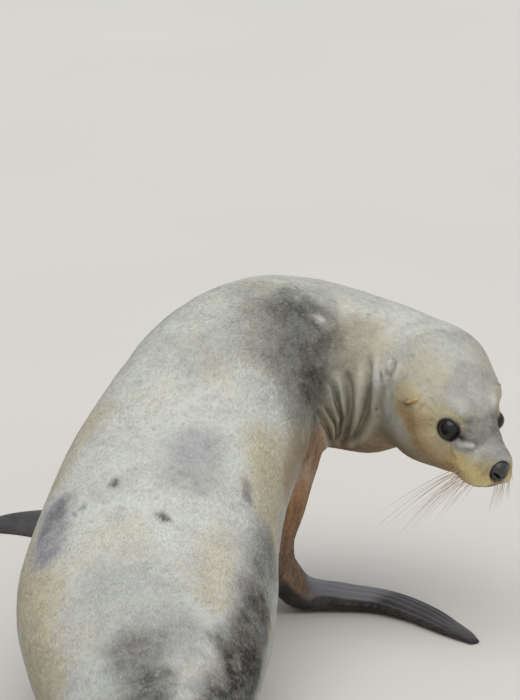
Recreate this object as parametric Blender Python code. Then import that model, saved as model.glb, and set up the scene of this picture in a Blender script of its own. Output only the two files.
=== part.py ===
"""A female South American sea lion, life size, resting on its belly and its fore flippers with
its neck bent back over its right shoulder.

Metres, +Z up. While it is built the floor is z = 0, +X is ahead of the chest and +Y is the
animal's left. The finished animal is then slid over the floor until the middle of its box is
at the origin. The body is one loft through named rings, parted across the spine. Each limb is
a loft of its own, cut back to the body. Neighbours keep a gap of GAP.
"""

import math

import bmesh
import bpy
import numpy as np
from mathutils import Matrix

GAP = 0.0003
FLOOR = 0.0

# How finely the solids are divided
BODY_SIDES = 24
BODY_STEPS = 3
LIMB_SIDES = 14
LIMB_STEPS = 2
TOE_SIDES = 8
BODY_SQUARENESS = 2.15

# The head's own frame starts on the skull's axis, level with the ears
HEAD_CENTRE = (0.092, -0.324, 0.432)
HEAD_YAW = -127
HEAD_PITCH = -22

# Rings of the trunk and neck: the node that starts here, the spine's place, the yaw and pitch
# the ring faces in degrees, then half width, height of the back and depth of the belly
TRUNK = (
    ("tail", (-1.168, -0.222, 0.046), 12, 16, 0.010, 0.008, 0.008),
    (None, (-1.152, -0.219, 0.051), 13, 16, 0.021, 0.013, 0.015),
    (None, (-1.112, -0.208, 0.064), 15, 17, 0.030, 0.021, 0.025),
    ("hips", (-1.062, -0.194, 0.082), 17, 17, 0.056, 0.040, 0.050),
    (None, (-0.965, -0.165, 0.116), 20, 16, 0.108, 0.086, 0.112),
    (None, (-0.860, -0.125, 0.146), 22, 13, 0.152, 0.114, 0.154),
    ("belly", (-0.720, -0.066, 0.182), 22, 11, 0.195, 0.140, 0.197),
    (None, (-0.534, 0.006, 0.218), 18, 14, 0.219, 0.165, 0.229),
    ("ribs", (-0.337, 0.052, 0.290), 9, 21, 0.206, 0.170, 0.200),
    (None, (-0.150, 0.066, 0.372), -2, 22, 0.188, 0.175, 0.187),
    ("chest", (0.005, 0.048, 0.436), -19, 16, 0.173, 0.181, 0.176),
    ("neck_base", (0.120, -0.010, 0.464), -46, 5, 0.156, 0.160, 0.162),
    (None, (0.182, -0.100, 0.452), -77, -5, 0.142, 0.139, 0.160),
    ("neck_top", (0.172, -0.205, 0.440), -106, -14, 0.128, 0.125, 0.152),
)

# Rings of the head in its own frame: node, forward, up, half width, rise, drop
HEAD = (
    ("head", -0.050, 0.003, 0.113, 0.098, 0.148),
    (None, 0.000, 0.000, 0.103, 0.087, 0.139),
    (None, 0.035, -0.004, 0.093, 0.080, 0.121),
    (None, 0.062, -0.010, 0.079, 0.070, 0.102),
    (None, 0.086, -0.018, 0.0645, 0.058, 0.083),
    ("muzzle", 0.108, -0.028, 0.055, 0.047, 0.063),
    (None, 0.130, -0.034, 0.047, 0.040, 0.051),
    (None, 0.155, -0.036, 0.045, 0.036, 0.043),
    (None, 0.171, -0.036, 0.038, 0.032, 0.034),
    (None, 0.181, -0.034, 0.027, 0.024, 0.025),
    (None, 0.186, -0.033, 0.013, 0.012, 0.013),
)

# Forms added to the head, in its frame: node, (forward, up, to the side), (radii the same way)
HEAD_PADS = (
    ("head", (0.062, 0.022, 0.043), (0.034, 0.016, 0.0250)),
    ("muzzle", (0.150, -0.044, 0.023), (0.030, 0.026, 0.027)),
    ("muzzle", (0.148, -0.068, 0.006), (0.030, 0.013, 0.017)),
)
NOSE_PLACE = (0.1780, -0.021, 0.0)
NOSE_RADII = (0.0150, 0.0185, 0.0225)
EYE_PLACE = (0.0785, -0.001, 0.0480)
EYE_RADIUS = 0.0205
EAR = (
    ((0.040, 0.020, 0.074), 0.009, 0.006),
    ((0.030, 0.018, 0.088), 0.009, 0.006),
    ((0.013, 0.010, 0.098), 0.007, 0.005),
    ((-0.003, 0.000, 0.103), 0.003, 0.002),
)

# Fore limbs from shoulder to tip: place, half chord, half thickness. The chord is the way from
# the trailing edge to the leading edge.
RIGHT_CHORD = (1.0, 0.0, -0.04)
LEFT_CHORD = (1.0, 0.0, 0.12)
RIGHT_ARM = (
    ((0.085, -0.036, 0.370), 0.095, 0.080),
    ((0.044, -0.022, 0.290), 0.086, 0.074),
    ((0.036, -0.022, 0.215), 0.068, 0.051),
    ((0.042, -0.015, 0.140), 0.053, 0.034),
    ((0.074, -0.018, 0.075), 0.050, 0.028),
)
RIGHT_HAND = (
    ((0.114, -0.044, 0.030), 0.057, 0.025),
    ((0.142, -0.105, 0.0175), 0.065, 0.019),
    ((0.150, -0.182, 0.0135), 0.062, 0.014),
    ((0.120, -0.262, 0.0100), 0.052, 0.010),
    ((0.074, -0.328, 0.0080), 0.038, 0.008),
    ((0.038, -0.378, 0.0065), 0.024, 0.006),
    ((0.022, -0.402, 0.0050), 0.011, 0.004),
)
LEFT_ARM = (
    ((-0.020, 0.080, 0.360), 0.090, 0.080),
    ((0.022, 0.128, 0.290), 0.080, 0.070),
    ((0.062, 0.166, 0.215), 0.064, 0.047),
    ((0.110, 0.206, 0.140), 0.053, 0.034),
    ((0.166, 0.250, 0.075), 0.050, 0.028),
)
LEFT_HAND = (
    ((0.232, 0.308, 0.030), 0.057, 0.025),
    ((0.304, 0.384, 0.0175), 0.074, 0.019),
    ((0.360, 0.464, 0.0135), 0.082, 0.014),
    ((0.388, 0.548, 0.0100), 0.076, 0.010),
    ((0.378, 0.628, 0.0080), 0.058, 0.008),
    ((0.346, 0.688, 0.0065), 0.030, 0.006),
    ((0.327, 0.714, 0.0050), 0.013, 0.004),
)

# Hind limbs in the rump's frame, right side: (forward, up, out), half width, half thickness
RUMP_CENTRE = (-0.965, -0.165, 0.0)
RUMP_YAW = 20
HIND_LEG = (
    ((0.020, 0.110, 0.030), 0.080, 0.070),
    ((-0.030, 0.088, 0.068), 0.068, 0.056),
    ((-0.066, 0.056, 0.108), 0.052, 0.042),
)
HIND_FOOT = (
    ((-0.060, 0.034, 0.152), 0.046, 0.0335),
    ((-0.018, 0.022, 0.188), 0.052, 0.0230),
    ((0.045, 0.0145, 0.220), 0.062, 0.0155),
    ((0.110, 0.0100, 0.248), 0.074, 0.0105),
    ((0.140, 0.0080, 0.261), 0.078, 0.0080),
)
# Toes across the foot: sideways place as a part of the half width, reach past the foot, half width
TOES = (
    (-0.78, 0.082, 0.0175),
    (-0.38, 0.062, 0.0150),
    (0.00, 0.056, 0.0150),
    (0.38, 0.062, 0.0150),
    (0.78, 0.082, 0.0175),
)
TOE_OVERLAP = 0.030
TOE_THICKNESS = 0.0062
TOE_SPREAD = 9
CLAW_LENGTH = 0.020
CLAW_RADIUS = 0.0036
CLAW_REACH = 0.016


def frame_of(centre, yaw, pitch=0.0):
    """The function that carries (forward, up, right) of a frame turned by yaw and pitch, in
    degrees, into the model. As a matrix its columns are forward, up and right."""
    yaw, pitch = math.radians(yaw), math.radians(pitch)
    level = np.array([math.cos(yaw), math.sin(yaw), 0.0])
    forward = math.cos(pitch) * level + math.sin(pitch) * np.array([0, 0, 1.0])
    right = np.cross(level, (0, 0, 1.0))
    turned = np.column_stack([forward, np.cross(right, forward), right])
    return (lambda ahead, above=0.0, right=0.0: turned @ (ahead, above, right) + centre), turned


in_head, head_axes = frame_of(HEAD_CENTRE, HEAD_YAW, HEAD_PITCH)
in_rump, rump_axes = frame_of(RUMP_CENTRE, RUMP_YAW)


def smooth_through(rows, steps):
    """A cubic Hermite curve through the rows, whose slope at each row is its neighbours'
    parabola's, over the distance between places (the first three columns)."""
    rows = np.asarray(rows, float)
    gaps = np.linalg.norm(np.diff(rows[:, :3], axis=0), axis=1)
    slopes = np.gradient(rows, np.concatenate([[0], np.cumsum(gaps)]), axis=0)
    t = np.linspace(0, len(rows) - 1, (len(rows) - 1) * steps + 1)
    i = np.minimum(t.astype(int), len(rows) - 2)
    f = (t - i)[:, None]
    step = gaps[i][:, None]
    return (
        (2 * f**3 - 3 * f**2 + 1) * rows[i]
        + (f**3 - 2 * f**2 + f) * step * slopes[i]
        + (3 * f**2 - 2 * f**3) * rows[i + 1]
        + (f**3 - f**2) * step * slopes[i + 1]
    )


def unit(vectors):
    """The vectors at length one."""
    return vectors / np.linalg.norm(vectors, axis=-1)[..., None]


def ring_points(places, across, over, wide, rise, drop, sides, squareness):
    """Superellipses round the places, whose upper and lower halves have their own heights.
    What would sink under the floor is pressed flat on it: along the ring's own plane where
    that stands upright, else straight up."""
    turn = np.linspace(0, 2 * math.pi, sides, endpoint=False) + math.pi / sides
    side = np.sign(np.cos(turn)) * np.abs(np.cos(turn)) ** (2 / squareness)
    high = np.sign(np.sin(turn)) * np.abs(np.sin(turn)) ** (2 / squareness)
    height = np.where(high > 0, rise[:, None] * high, drop[:, None] * high)
    points = places[:, None] + across[:, None] * (wide[:, None] * side)[..., None]
    points = points + over[:, None] * height[..., None]
    lift = np.maximum(FLOOR - points[..., 2], 0)
    steep = np.maximum(over[:, 2:], 0.5)
    press = np.where(over[:, 2:] > 0.5, over / steep, (0, 0, 1.0))
    return points + press[:, None] * lift[..., None]


def body_rings(grow=0.0):
    """Rings from the tail to the end of the muzzle, and the unit vectors they face along."""
    rows = [
        (*place, *unit(frame_of(place, yaw, pitch)[1][:, 0]), *sizes)
        for _, place, yaw, pitch, *sizes in TRUNK
    ]
    rows += [(*in_head(ahead, above), *head_axes[:, 0], *sizes) for _, ahead, above, *sizes in HEAD]
    fine = smooth_through(rows, BODY_STEPS)
    facing = unit(fine[:, 3:6])
    across = unit(np.cross(facing, (0, 0, 1.0)))
    over = np.cross(across, facing)
    wide, rise, drop = (fine[:, 6:] + grow).T
    return ring_points(fine[:, :3], across, over, wide, rise, drop, BODY_SIDES, BODY_SQUARENESS), facing


def limb_rings(rows, sides=LIMB_SIDES, steps=LIMB_STEPS, chord=None):
    """Elliptic rings along a limb. Their long way keeps near the chord, or else stays level."""
    fine = smooth_through([(*place, wide, thick) for place, wide, thick in rows], steps)
    facing = unit(np.gradient(fine[:, :3], axis=0))
    if chord is None:
        across = unit(np.cross(facing, (0, 0, 1.0)))
    else:
        across = unit(np.array(chord) - (facing @ np.array(chord))[:, None] * facing)
    over = np.cross(across, facing)
    places, wide, thick = fine[:, :3], fine[:, 3], fine[:, 4]
    return ring_points(places, across, over, wide, thick, thick, sides, 2.0), facing


def look(name, colour, roughness):
    """A Principled material of one colour."""
    made = bpy.data.materials.new(name)
    made.use_nodes = True
    shader = made.node_tree.nodes["Principled BSDF"]
    shader.inputs["Base Color"].default_value = (*colour, 1)
    shader.inputs["Roughness"].default_value = roughness
    return made


def solid(name, form, material, collection):
    """The bmesh as a named, smooth-shaded object."""
    bmesh.ops.recalc_face_normals(form, faces=form.faces)
    mesh = bpy.data.meshes.new(name)
    form.to_mesh(mesh)
    form.free()
    mesh.materials.append(material)
    mesh.shade_smooth()
    made = bpy.data.objects.new(name, mesh)
    collection.objects.link(made)
    return made


def loft(name, rings, material, collection):
    """A closed solid through the rings, with a fan of faces over each end."""
    form = bmesh.new()
    loops = [[form.verts.new(point) for point in ring] for ring in rings]
    sides = len(loops[0])
    for first, second in zip(loops, loops[1:]):
        for k in range(sides):
            n = (k + 1) % sides
            form.faces.new((first[k], first[n], second[n], second[k]))
    for loop, ring in ((loops[0], rings[0]), (loops[-1], rings[-1])):
        hub = form.verts.new(ring.mean(axis=0))
        for k in range(sides):
            form.faces.new((loop[k], loop[(k + 1) % sides], hub))
    return solid(name, form, material, collection)


def ball(name, place, radii, axes, material, collection, segments=14):
    """An ellipsoid at the place, with its radii along the columns of axes."""
    turned = np.eye(4)
    turned[:3, :3] = axes * radii
    turned[:3, 3] = place
    form = bmesh.new()
    bmesh.ops.create_uvsphere(
        form, u_segments=segments, v_segments=segments * 5 // 8, radius=1.0, matrix=Matrix(turned)
    )
    return solid(name, form, material, collection)


def boolean(thing, other, operation):
    """Applies a Boolean with the other solid to the thing's own mesh."""
    step = thing.modifiers.new(operation, "BOOLEAN")
    step.operation = operation
    step.object = other
    bpy.context.view_layer.update()
    graph = bpy.context.evaluated_depsgraph_get()
    mesh = bpy.data.meshes.new_from_object(thing.evaluated_get(graph))
    thing.modifiers.remove(step)
    thing.data = mesh


def as_cutter(made):
    """Marks a solid that only shapes others."""
    made.hide_render = True
    made.display_type = "WIRE"
    return made


def cut_back(thing, host, cutters):
    """Cuts the thing back to the host's surface, and leaves the gap."""
    grown = as_cutter(host.copy())
    grown.name = "grown_" + host.name
    cutters.objects.link(grown)
    swell = grown.modifiers.new("gap", "DISPLACE")
    swell.strength = GAP
    swell.mid_level = 0.0
    boolean(thing, grown, "DIFFERENCE")


def parted(rings, facing, at):
    """The rings before and after ring number `at`, pulled apart by the gap."""
    before, after = rings[: at + 1].copy(), rings[at:].copy()
    before[-1] -= facing[at] * GAP / 2
    after[0] += facing[at] * GAP / 2
    return before, after


def make_body(animal, coat):
    """One node from each named ring to the next."""
    rings, facing = body_rings()
    names = [row[0] for row in TRUNK + HEAD]
    nodes = {}
    rest, start = rings, 0
    for here, name in enumerate(names):
        if name and here:
            part, rest = parted(rest, facing[start:], here * BODY_STEPS - start)
            start = here * BODY_STEPS
            nodes[label] = loft(label, part, coat, animal)
        label = name or label
    nodes[label] = loft(label, rest, coat, animal)
    return nodes


def make_head_details(nodes, animal, cutters, looks):
    """Brows, cheeks, whisker pads and chin, then eyes in their sockets, the nose and the ears."""
    for side in (1, -1):
        for host, (ahead, above, aside), radii in HEAD_PADS:
            place = in_head(ahead, above, side * aside)
            pad = as_cutter(ball("pad", place, radii, head_axes, looks["coat"], cutters, 8))
            boolean(nodes[host], pad, "UNION")
    for side, letter in ((1, "R"), (-1, "L")):
        ahead, above, aside = EYE_PLACE
        place = in_head(ahead, above, side * aside)
        socket = (EYE_RADIUS + GAP,) * 3
        hollow = as_cutter(ball("socket", place, socket, head_axes, looks["coat"], cutters))
        boolean(nodes["head"], hollow, "DIFFERENCE")
        ball("eye_" + letter, place, (EYE_RADIUS,) * 3, head_axes, looks["eye"], animal)
        rows = [(in_head(p[0], p[1], side * p[2]), wide, thick) for p, wide, thick in EAR]
        ear = loft("ear_" + letter, limb_rings(rows, 10)[0], looks["coat"], animal)
        cut_back(ear, nodes["head"], cutters)
    nose = ball("nose", in_head(*NOSE_PLACE), NOSE_RADII, head_axes, looks["bare"], animal)
    cut_back(nose, nodes["muzzle"], cutters)


def make_fore_limb(letter, arm, hand, chord, body, animal, looks):
    """The arm, cut back to the body, and the flipper beyond the wrist."""
    rings, facing = limb_rings(arm + hand, chord=chord)
    upper, lower = parted(rings, facing, (len(arm) - 1) * LIMB_STEPS)
    boolean(loft("foreleg_" + letter, upper, looks["coat"], animal), body, "DIFFERENCE")
    loft("fore_flipper_" + letter, lower, looks["bare"], animal)


def make_hind_limb(letter, side, body, animal, cutters, looks):
    """The leg, cut back to the body, then the foot with its five toes and three claws."""
    rows = [(in_rump(p[0], p[1], side * p[2]), wide, thick) for p, wide, thick in HIND_LEG + HIND_FOOT]
    rings, facing = limb_rings(rows)
    upper, lower = parted(rings, facing, len(HIND_LEG) * LIMB_STEPS - 1)
    boolean(loft("hind_leg_" + letter, upper, looks["coat"], animal), body, "DIFFERENCE")
    foot = loft("hind_flipper_" + letter, lower, looks["bare"], animal)
    end, half_width = np.array(rows[-1][0]), rows[-1][1]
    ahead = unit(np.array([*(rows[-1][0] - rows[-2][0])[:2], 0]))
    sideways = np.cross(ahead, (0, 0, 1.0))
    for number, (across, reach, wide) in enumerate(TOES):
        lean = math.radians(TOE_SPREAD * across)
        way = math.cos(lean) * ahead + math.sin(lean) * sideways
        root = end + sideways * across * half_width
        toe_rows = [
            (
                root + way * far + (0, 0, TOE_THICKNESS * thick - end[2]),
                wide * part,
                TOE_THICKNESS * thick,
            )
            for far, part, thick in (
                (-TOE_OVERLAP, 0.8, 1.0),
                (0.0, 1.0, 1.0),
                (0.6 * reach, 1.0, 0.8),
                (0.9 * reach, 0.8, 0.6),
                (reach, 0.4, 0.4),
            )
        ]
        toe = as_cutter(loft("toe", limb_rings(toe_rows, TOE_SIDES, 1)[0], looks["bare"], cutters))
        boolean(foot, toe, "UNION")
    for number, (across, reach, wide) in enumerate(TOES[1:-1], 2):
        lean = math.radians(TOE_SPREAD * across)
        way = math.cos(lean) * ahead + math.sin(lean) * sideways
        root = end + sideways * across * half_width + way * CLAW_REACH
        low = root + (0, 0, 2 * TOE_THICKNESS - end[2])
        claw_rows = (
            (low - way * CLAW_LENGTH / 2, CLAW_RADIUS, CLAW_RADIUS),
            (low + (0, 0, CLAW_RADIUS * 0.3), CLAW_RADIUS, CLAW_RADIUS),
            (low + way * CLAW_LENGTH / 2, CLAW_RADIUS * 0.3, CLAW_RADIUS * 0.3),
        )
        claw = loft(f"claw_{letter}{number}", limb_rings(claw_rows, TOE_SIDES)[0], looks["claw"], animal)
        cut_back(claw, foot, cutters)


def slide_to_origin(animal):
    """Slides all the solids over the floor until the middle of their box is at the origin."""
    corners = np.array([point.co for made in animal.objects for point in made.data.vertices])
    middle = (corners.min(axis=0) + corners.max(axis=0)) / 2
    for mesh in {made.data for made in animal.objects}:
        mesh.transform(Matrix.Translation((-middle[0], -middle[1], 0)))
    return middle


def main():
    for old in list(bpy.data.objects):
        bpy.data.objects.remove(old)
    animal = bpy.data.collections.new("sea_lion")
    cutters = bpy.data.collections.new("cutters")
    for made in (animal, cutters):
        bpy.context.scene.collection.children.link(made)
    looks = {
        "coat": look("coat", (0.47, 0.46, 0.41), 0.6),
        "bare": look("bare_skin", (0.06, 0.055, 0.055), 0.5),
        "eye": look("eye", (0.02, 0.015, 0.012), 0.1),
        "claw": look("claw", (0.08, 0.07, 0.06), 0.4),
    }
    nodes = make_body(animal, looks["coat"])
    make_head_details(nodes, animal, cutters, looks)
    body = as_cutter(loft("whole_body", body_rings(grow=GAP)[0], looks["coat"], cutters))
    make_fore_limb("R", RIGHT_ARM, RIGHT_HAND, RIGHT_CHORD, body, animal, looks)
    make_fore_limb("L", LEFT_ARM, LEFT_HAND, LEFT_CHORD, body, animal, looks)
    make_hind_limb("R", 1, body, animal, cutters, looks)
    make_hind_limb("L", -1, body, animal, cutters, looks)
    slide_to_origin(animal)


main()
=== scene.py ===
"""The looks of a life-size female South American sea lion, resting on its belly and its fore
flippers with its neck bent back over its right shoulder.

One skin goes over all the flesh. It is made of smooth lofts through the same named rings as the
solids, drawn in by the depth of the coat, joined into one surface and blended where they meet.
Lids, mouth, neck folds, flipper ridges and wrinkles are then worked into it. Over the skin lies
a coat of short closed tufts. Skin and coat read the same markings. Metres throughout.
"""

import math

import bpy
import numpy as np
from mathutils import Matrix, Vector


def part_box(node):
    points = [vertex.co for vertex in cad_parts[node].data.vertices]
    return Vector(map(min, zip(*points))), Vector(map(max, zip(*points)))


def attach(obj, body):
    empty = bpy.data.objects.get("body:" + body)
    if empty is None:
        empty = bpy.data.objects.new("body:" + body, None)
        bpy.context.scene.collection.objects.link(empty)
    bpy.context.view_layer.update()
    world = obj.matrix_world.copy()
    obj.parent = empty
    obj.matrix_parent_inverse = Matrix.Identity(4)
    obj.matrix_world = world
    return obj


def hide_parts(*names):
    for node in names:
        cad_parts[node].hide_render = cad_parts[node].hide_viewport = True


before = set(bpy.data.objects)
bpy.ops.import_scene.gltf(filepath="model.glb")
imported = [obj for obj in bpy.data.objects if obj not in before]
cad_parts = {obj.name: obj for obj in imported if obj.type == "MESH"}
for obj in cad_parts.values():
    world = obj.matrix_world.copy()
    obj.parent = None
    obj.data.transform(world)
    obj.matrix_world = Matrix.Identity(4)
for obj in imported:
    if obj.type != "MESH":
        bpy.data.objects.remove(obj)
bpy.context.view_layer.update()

UP = np.array([0.0, 0.0, 1.0])
BODY, FORE_R, FORE_L, HIND_R, HIND_L = range(5)

# ---------------------------------------------------------------- the rings of the solids
# Trunk and neck: the spine's place before the slide to the origin, the yaw and pitch the ring
# faces in degrees, half width, height of the back, depth of the belly, distance between rings
TRUNK = (
    ((-1.168, -0.222, 0.046), 12, 16, 0.010, 0.008, 0.008, 0.0050),
    ((-1.152, -0.219, 0.051), 13, 16, 0.021, 0.013, 0.015, 0.0050),
    ((-1.112, -0.208, 0.064), 15, 17, 0.030, 0.021, 0.025, 0.0065),
    ((-1.062, -0.194, 0.082), 17, 17, 0.056, 0.040, 0.050, 0.0075),
    ((-0.965, -0.165, 0.116), 20, 16, 0.108, 0.086, 0.112, 0.0100),
    ((-0.860, -0.125, 0.146), 22, 13, 0.152, 0.114, 0.154, 0.0105),
    ((-0.720, -0.066, 0.182), 22, 11, 0.195, 0.140, 0.197, 0.0110),
    ((-0.534, 0.006, 0.218), 18, 14, 0.219, 0.165, 0.229, 0.0110),
    ((-0.337, 0.052, 0.290), 9, 21, 0.206, 0.170, 0.200, 0.0105),
    ((-0.150, 0.066, 0.372), -2, 22, 0.188, 0.175, 0.187, 0.0090),
    ((0.005, 0.048, 0.436), -19, 16, 0.173, 0.181, 0.176, 0.0058),
    ((0.120, -0.010, 0.464), -46, 5, 0.156, 0.160, 0.162, 0.0038),
    ((0.182, -0.100, 0.452), -77, -5, 0.142, 0.139, 0.160, 0.0034),
    ((0.172, -0.205, 0.440), -106, -14, 0.128, 0.125, 0.152, 0.0038),
)
# Head in its own frame: forward, up, half width, rise, drop, distance between rings
HEAD = (
    (-0.050, 0.003, 0.113, 0.098, 0.148, 0.0040),
    (0.000, 0.000, 0.103, 0.087, 0.139, 0.0036),
    (0.035, -0.004, 0.093, 0.080, 0.121, 0.0030),
    (0.062, -0.010, 0.079, 0.070, 0.102, 0.0025),
    (0.086, -0.018, 0.0645, 0.058, 0.083, 0.0021),
    (0.108, -0.028, 0.055, 0.047, 0.063, 0.0020),
    (0.130, -0.034, 0.047, 0.040, 0.051, 0.0020),
    (0.155, -0.036, 0.045, 0.036, 0.043, 0.0020),
    (0.171, -0.036, 0.038, 0.032, 0.034, 0.0018),
    (0.181, -0.034, 0.027, 0.024, 0.025, 0.0016),
    (0.186, -0.033, 0.013, 0.012, 0.013, 0.0016),
)
BODY_SQUARENESS = 2.15
HEAD_PLACE = (0.092, -0.324, 0.432)  # before the slide
HEAD_YAW = -127
HEAD_PITCH = -22
HEAD_START = 1.72  # distance along the body from the tail
EYE_PLACE = (0.0785, -0.001, 0.0480)
EYE_RADIUS = 0.0205
EYE_SINK = 0.0022  # how much deeper the eyeball sits than its solid
NOSE_PLACE = (0.1780, -0.0305, 0.0)
NOSE_WIDE = 0.0195
NOSE_RISE = 0.0190
NOSE_DROP = 0.0185
NOSE_SEAT = 0.1755  # how far forward the muzzle's skin goes behind the pad
NOSE_RIM = 0.1785
NOSE_TIP = 0.1940
# Brow, root of the nose, side of the bridge, whisker pad and chin:
# (forward, up, to the side), (radii)
HEAD_PADS = (
    ((0.071, 0.022, 0.0490), (0.038, 0.024, 0.0285)),
    ((0.098, 0.004, 0.0180), (0.034, 0.022, 0.0250)),
    ((0.110, -0.024, 0.0200), (0.043, 0.031, 0.0290)),
    ((0.140, -0.053, 0.023), (0.044, 0.0290, 0.0290)),
    ((0.142, -0.074, 0.004), (0.030, 0.012, 0.014)),
)
# Fore limbs from shoulder to tip: place, half chord, half thickness
RIGHT_CHORD = (1.0, 0.0, -0.04)
LEFT_CHORD = (1.0, 0.0, 0.12)
RIGHT_ARM = (
    ((0.081, -0.036, 0.370), 0.089, 0.078),
    ((0.042, -0.022, 0.290), 0.083, 0.073),
    ((0.036, -0.022, 0.215), 0.068, 0.051),
    ((0.042, -0.015, 0.140), 0.053, 0.034),
    ((0.074, -0.018, 0.075), 0.050, 0.028),
)
RIGHT_HAND = (
    ((0.116, -0.044, 0.030), 0.054, 0.0245),
    ((0.147, -0.105, 0.0175), 0.058, 0.0185),
    ((0.157, -0.182, 0.0135), 0.052, 0.0135),
    ((0.128, -0.262, 0.0100), 0.042, 0.0095),
    ((0.080, -0.328, 0.0080), 0.031, 0.0075),
    ((0.042, -0.378, 0.0065), 0.020, 0.006),
    ((0.022, -0.402, 0.0050), 0.010, 0.004),
)
LEFT_ARM = (
    ((-0.020, 0.080, 0.360), 0.090, 0.080),
    ((0.022, 0.128, 0.290), 0.080, 0.070),
    ((0.062, 0.166, 0.215), 0.064, 0.047),
    ((0.110, 0.206, 0.140), 0.053, 0.034),
    ((0.166, 0.250, 0.075), 0.050, 0.028),
)
LEFT_HAND = (
    ((0.232, 0.308, 0.030), 0.057, 0.025),
    ((0.304, 0.384, 0.0175), 0.074, 0.019),
    ((0.360, 0.464, 0.0135), 0.082, 0.014),
    ((0.388, 0.548, 0.0100), 0.076, 0.010),
    ((0.378, 0.628, 0.0080), 0.058, 0.008),
    ((0.346, 0.688, 0.0065), 0.030, 0.006),
    ((0.327, 0.714, 0.0050), 0.013, 0.004),
)
# Hind limbs in the rump's frame, right side: (forward, up, out), half width, half thickness
RUMP_PLACE = (-0.965, -0.165, 0.0)
RUMP_YAW = 20
HIND_LEG = (
    ((0.020, 0.110, 0.030), 0.080, 0.070),
    ((-0.030, 0.088, 0.068), 0.068, 0.056),
    ((-0.066, 0.056, 0.108), 0.052, 0.042),
)
HIND_FOOT = (
    ((-0.060, 0.034, 0.152), 0.046, 0.0335),
    ((-0.018, 0.022, 0.188), 0.052, 0.0230),
    ((0.045, 0.0145, 0.220), 0.062, 0.0155),
    ((0.110, 0.0100, 0.248), 0.074, 0.0105),
    ((0.140, 0.0080, 0.261), 0.078, 0.0080),
)
TOES = (
    (-0.78, 0.082, 0.0175),
    (-0.38, 0.062, 0.0150),
    (0.00, 0.056, 0.0150),
    (0.38, 0.062, 0.0150),
    (0.78, 0.082, 0.0175),
)
TOE_OVERLAP = 0.030
TOE_THICKNESS = 0.0062
TOE_SPREAD = 9

# How finely the skin is divided, and how far it lies inside the solids
COAT_DEPTH = 0.0024
BARE_DEPTH = 0.0006
MUZZLE_DROP = 0.0062  # how much lower the jaw hangs than its solid
SKIN_FLOOR = 0.0008
BODY_SIDES = 156
LIMB_SIDES = 56
FOOT_SIDES = 44
TOE_SIDES = 20
LIMB_SPACING = 0.0068


def unit(vectors):
    """The vectors at length one."""
    return vectors / np.maximum(np.linalg.norm(vectors, axis=-1, keepdims=True), 1e-12)


def smoothstep(low, high, values):
    """0 below low, 1 above high, and 3t^2 - 2t^3 between."""
    t = np.clip((values - low) / (high - low), 0, 1)
    return t * t * (3 - 2 * t)


def bump(values, width):
    """A bell: e to the power of minus the square of values over width."""
    return np.exp(-((values / width) ** 2))


def axes_of(yaw, pitch=0.0):
    """Columns forward, up and right of a frame turned by yaw and pitch, in degrees."""
    yaw, pitch = np.radians(yaw), np.radians(pitch)
    level = np.array([np.cos(yaw), np.sin(yaw), 0.0])
    ahead = np.cos(pitch) * level + np.sin(pitch) * UP
    right = np.cross(level, UP)
    return np.column_stack([ahead, np.cross(right, ahead), right])


def middle_of(node):
    """The middle of a solid's box."""
    return np.mean(np.array(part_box(node)), axis=0)


HEAD_AXES = axes_of(HEAD_YAW, HEAD_PITCH)
RUMP_AXES = axes_of(RUMP_YAW)
eyes_middle = (middle_of("eye_R") + middle_of("eye_L")) / 2
HEAD_CENTRE = eyes_middle - HEAD_AXES @ (EYE_PLACE[0], EYE_PLACE[1], 0)
SLIDE = (HEAD_CENTRE - HEAD_PLACE) * (1, 1, 0)
HEAD_CENTRE = HEAD_PLACE + SLIDE


def in_head(places):
    """(forward, up, right) in the head's frame to the model."""
    return np.asarray(places, float) @ HEAD_AXES.T + HEAD_CENTRE


def from_head(points):
    """Model points to (forward, up, right) in the head's frame."""
    return (points - HEAD_CENTRE) @ HEAD_AXES


def lattice_noise(points, size, seed=0):
    """Smooth noise between -1 and 1: random values at the corners of cubes of that size, from
    a hash of the corner's whole coordinates, mixed by 3t^2 - 2t^3 along each axis."""
    p = points / size + 1000.0 + seed * 17.31
    cell = np.floor(p).astype(np.int64)
    t = p - cell
    t = t * t * (3 - 2 * t)
    total = 0.0
    for corner in range(8):
        step = np.array([corner & 1, corner >> 1 & 1, corner >> 2 & 1])
        x, y, z = (cell + step).T
        h = (x * 73856093) ^ (y * 19349663) ^ (z * 83492791) ^ (seed * 2654435761)
        h = (h ^ (h >> 13)) * 1274126177 & 0xFFFFFFFF
        value = ((h ^ (h >> 16)) & 0xFFFF) / 32767.5 - 1
        total = total + value * np.prod(np.where(step == 1, t, 1 - t), axis=1)
    return total


def cloud_noise(points, size, seed=0, layers=3):
    """Lattice noise in layers, each half the size and 0.55 the strength of the last."""
    parts = [0.55**k * lattice_noise(points, size / 2**k, seed + k) for k in range(layers)]
    return np.sum(parts, axis=0)


# ---------------------------------------------------------------- lofts
def smooth_through(rows, at):
    """A cubic Hermite curve through the rows, read at row numbers `at`. The slope at a row is
    its neighbours' parabola's, over the distance between places (the first three columns)."""
    gaps = np.linalg.norm(np.diff(rows[:, :3], axis=0), axis=1)
    slopes = np.gradient(rows, np.concatenate([[0], np.cumsum(gaps)]), axis=0)
    i = np.clip(at.astype(int), 0, len(rows) - 2)
    f = (at - i)[:, None]
    step = gaps[i][:, None]
    return (
        (2 * f**3 - 3 * f**2 + 1) * rows[i]
        + (f**3 - 2 * f**2 + f) * step * slopes[i]
        + (3 * f**2 - 2 * f**3) * rows[i + 1]
        + (f**3 - f**2) * step * slopes[i + 1]
    )


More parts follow.
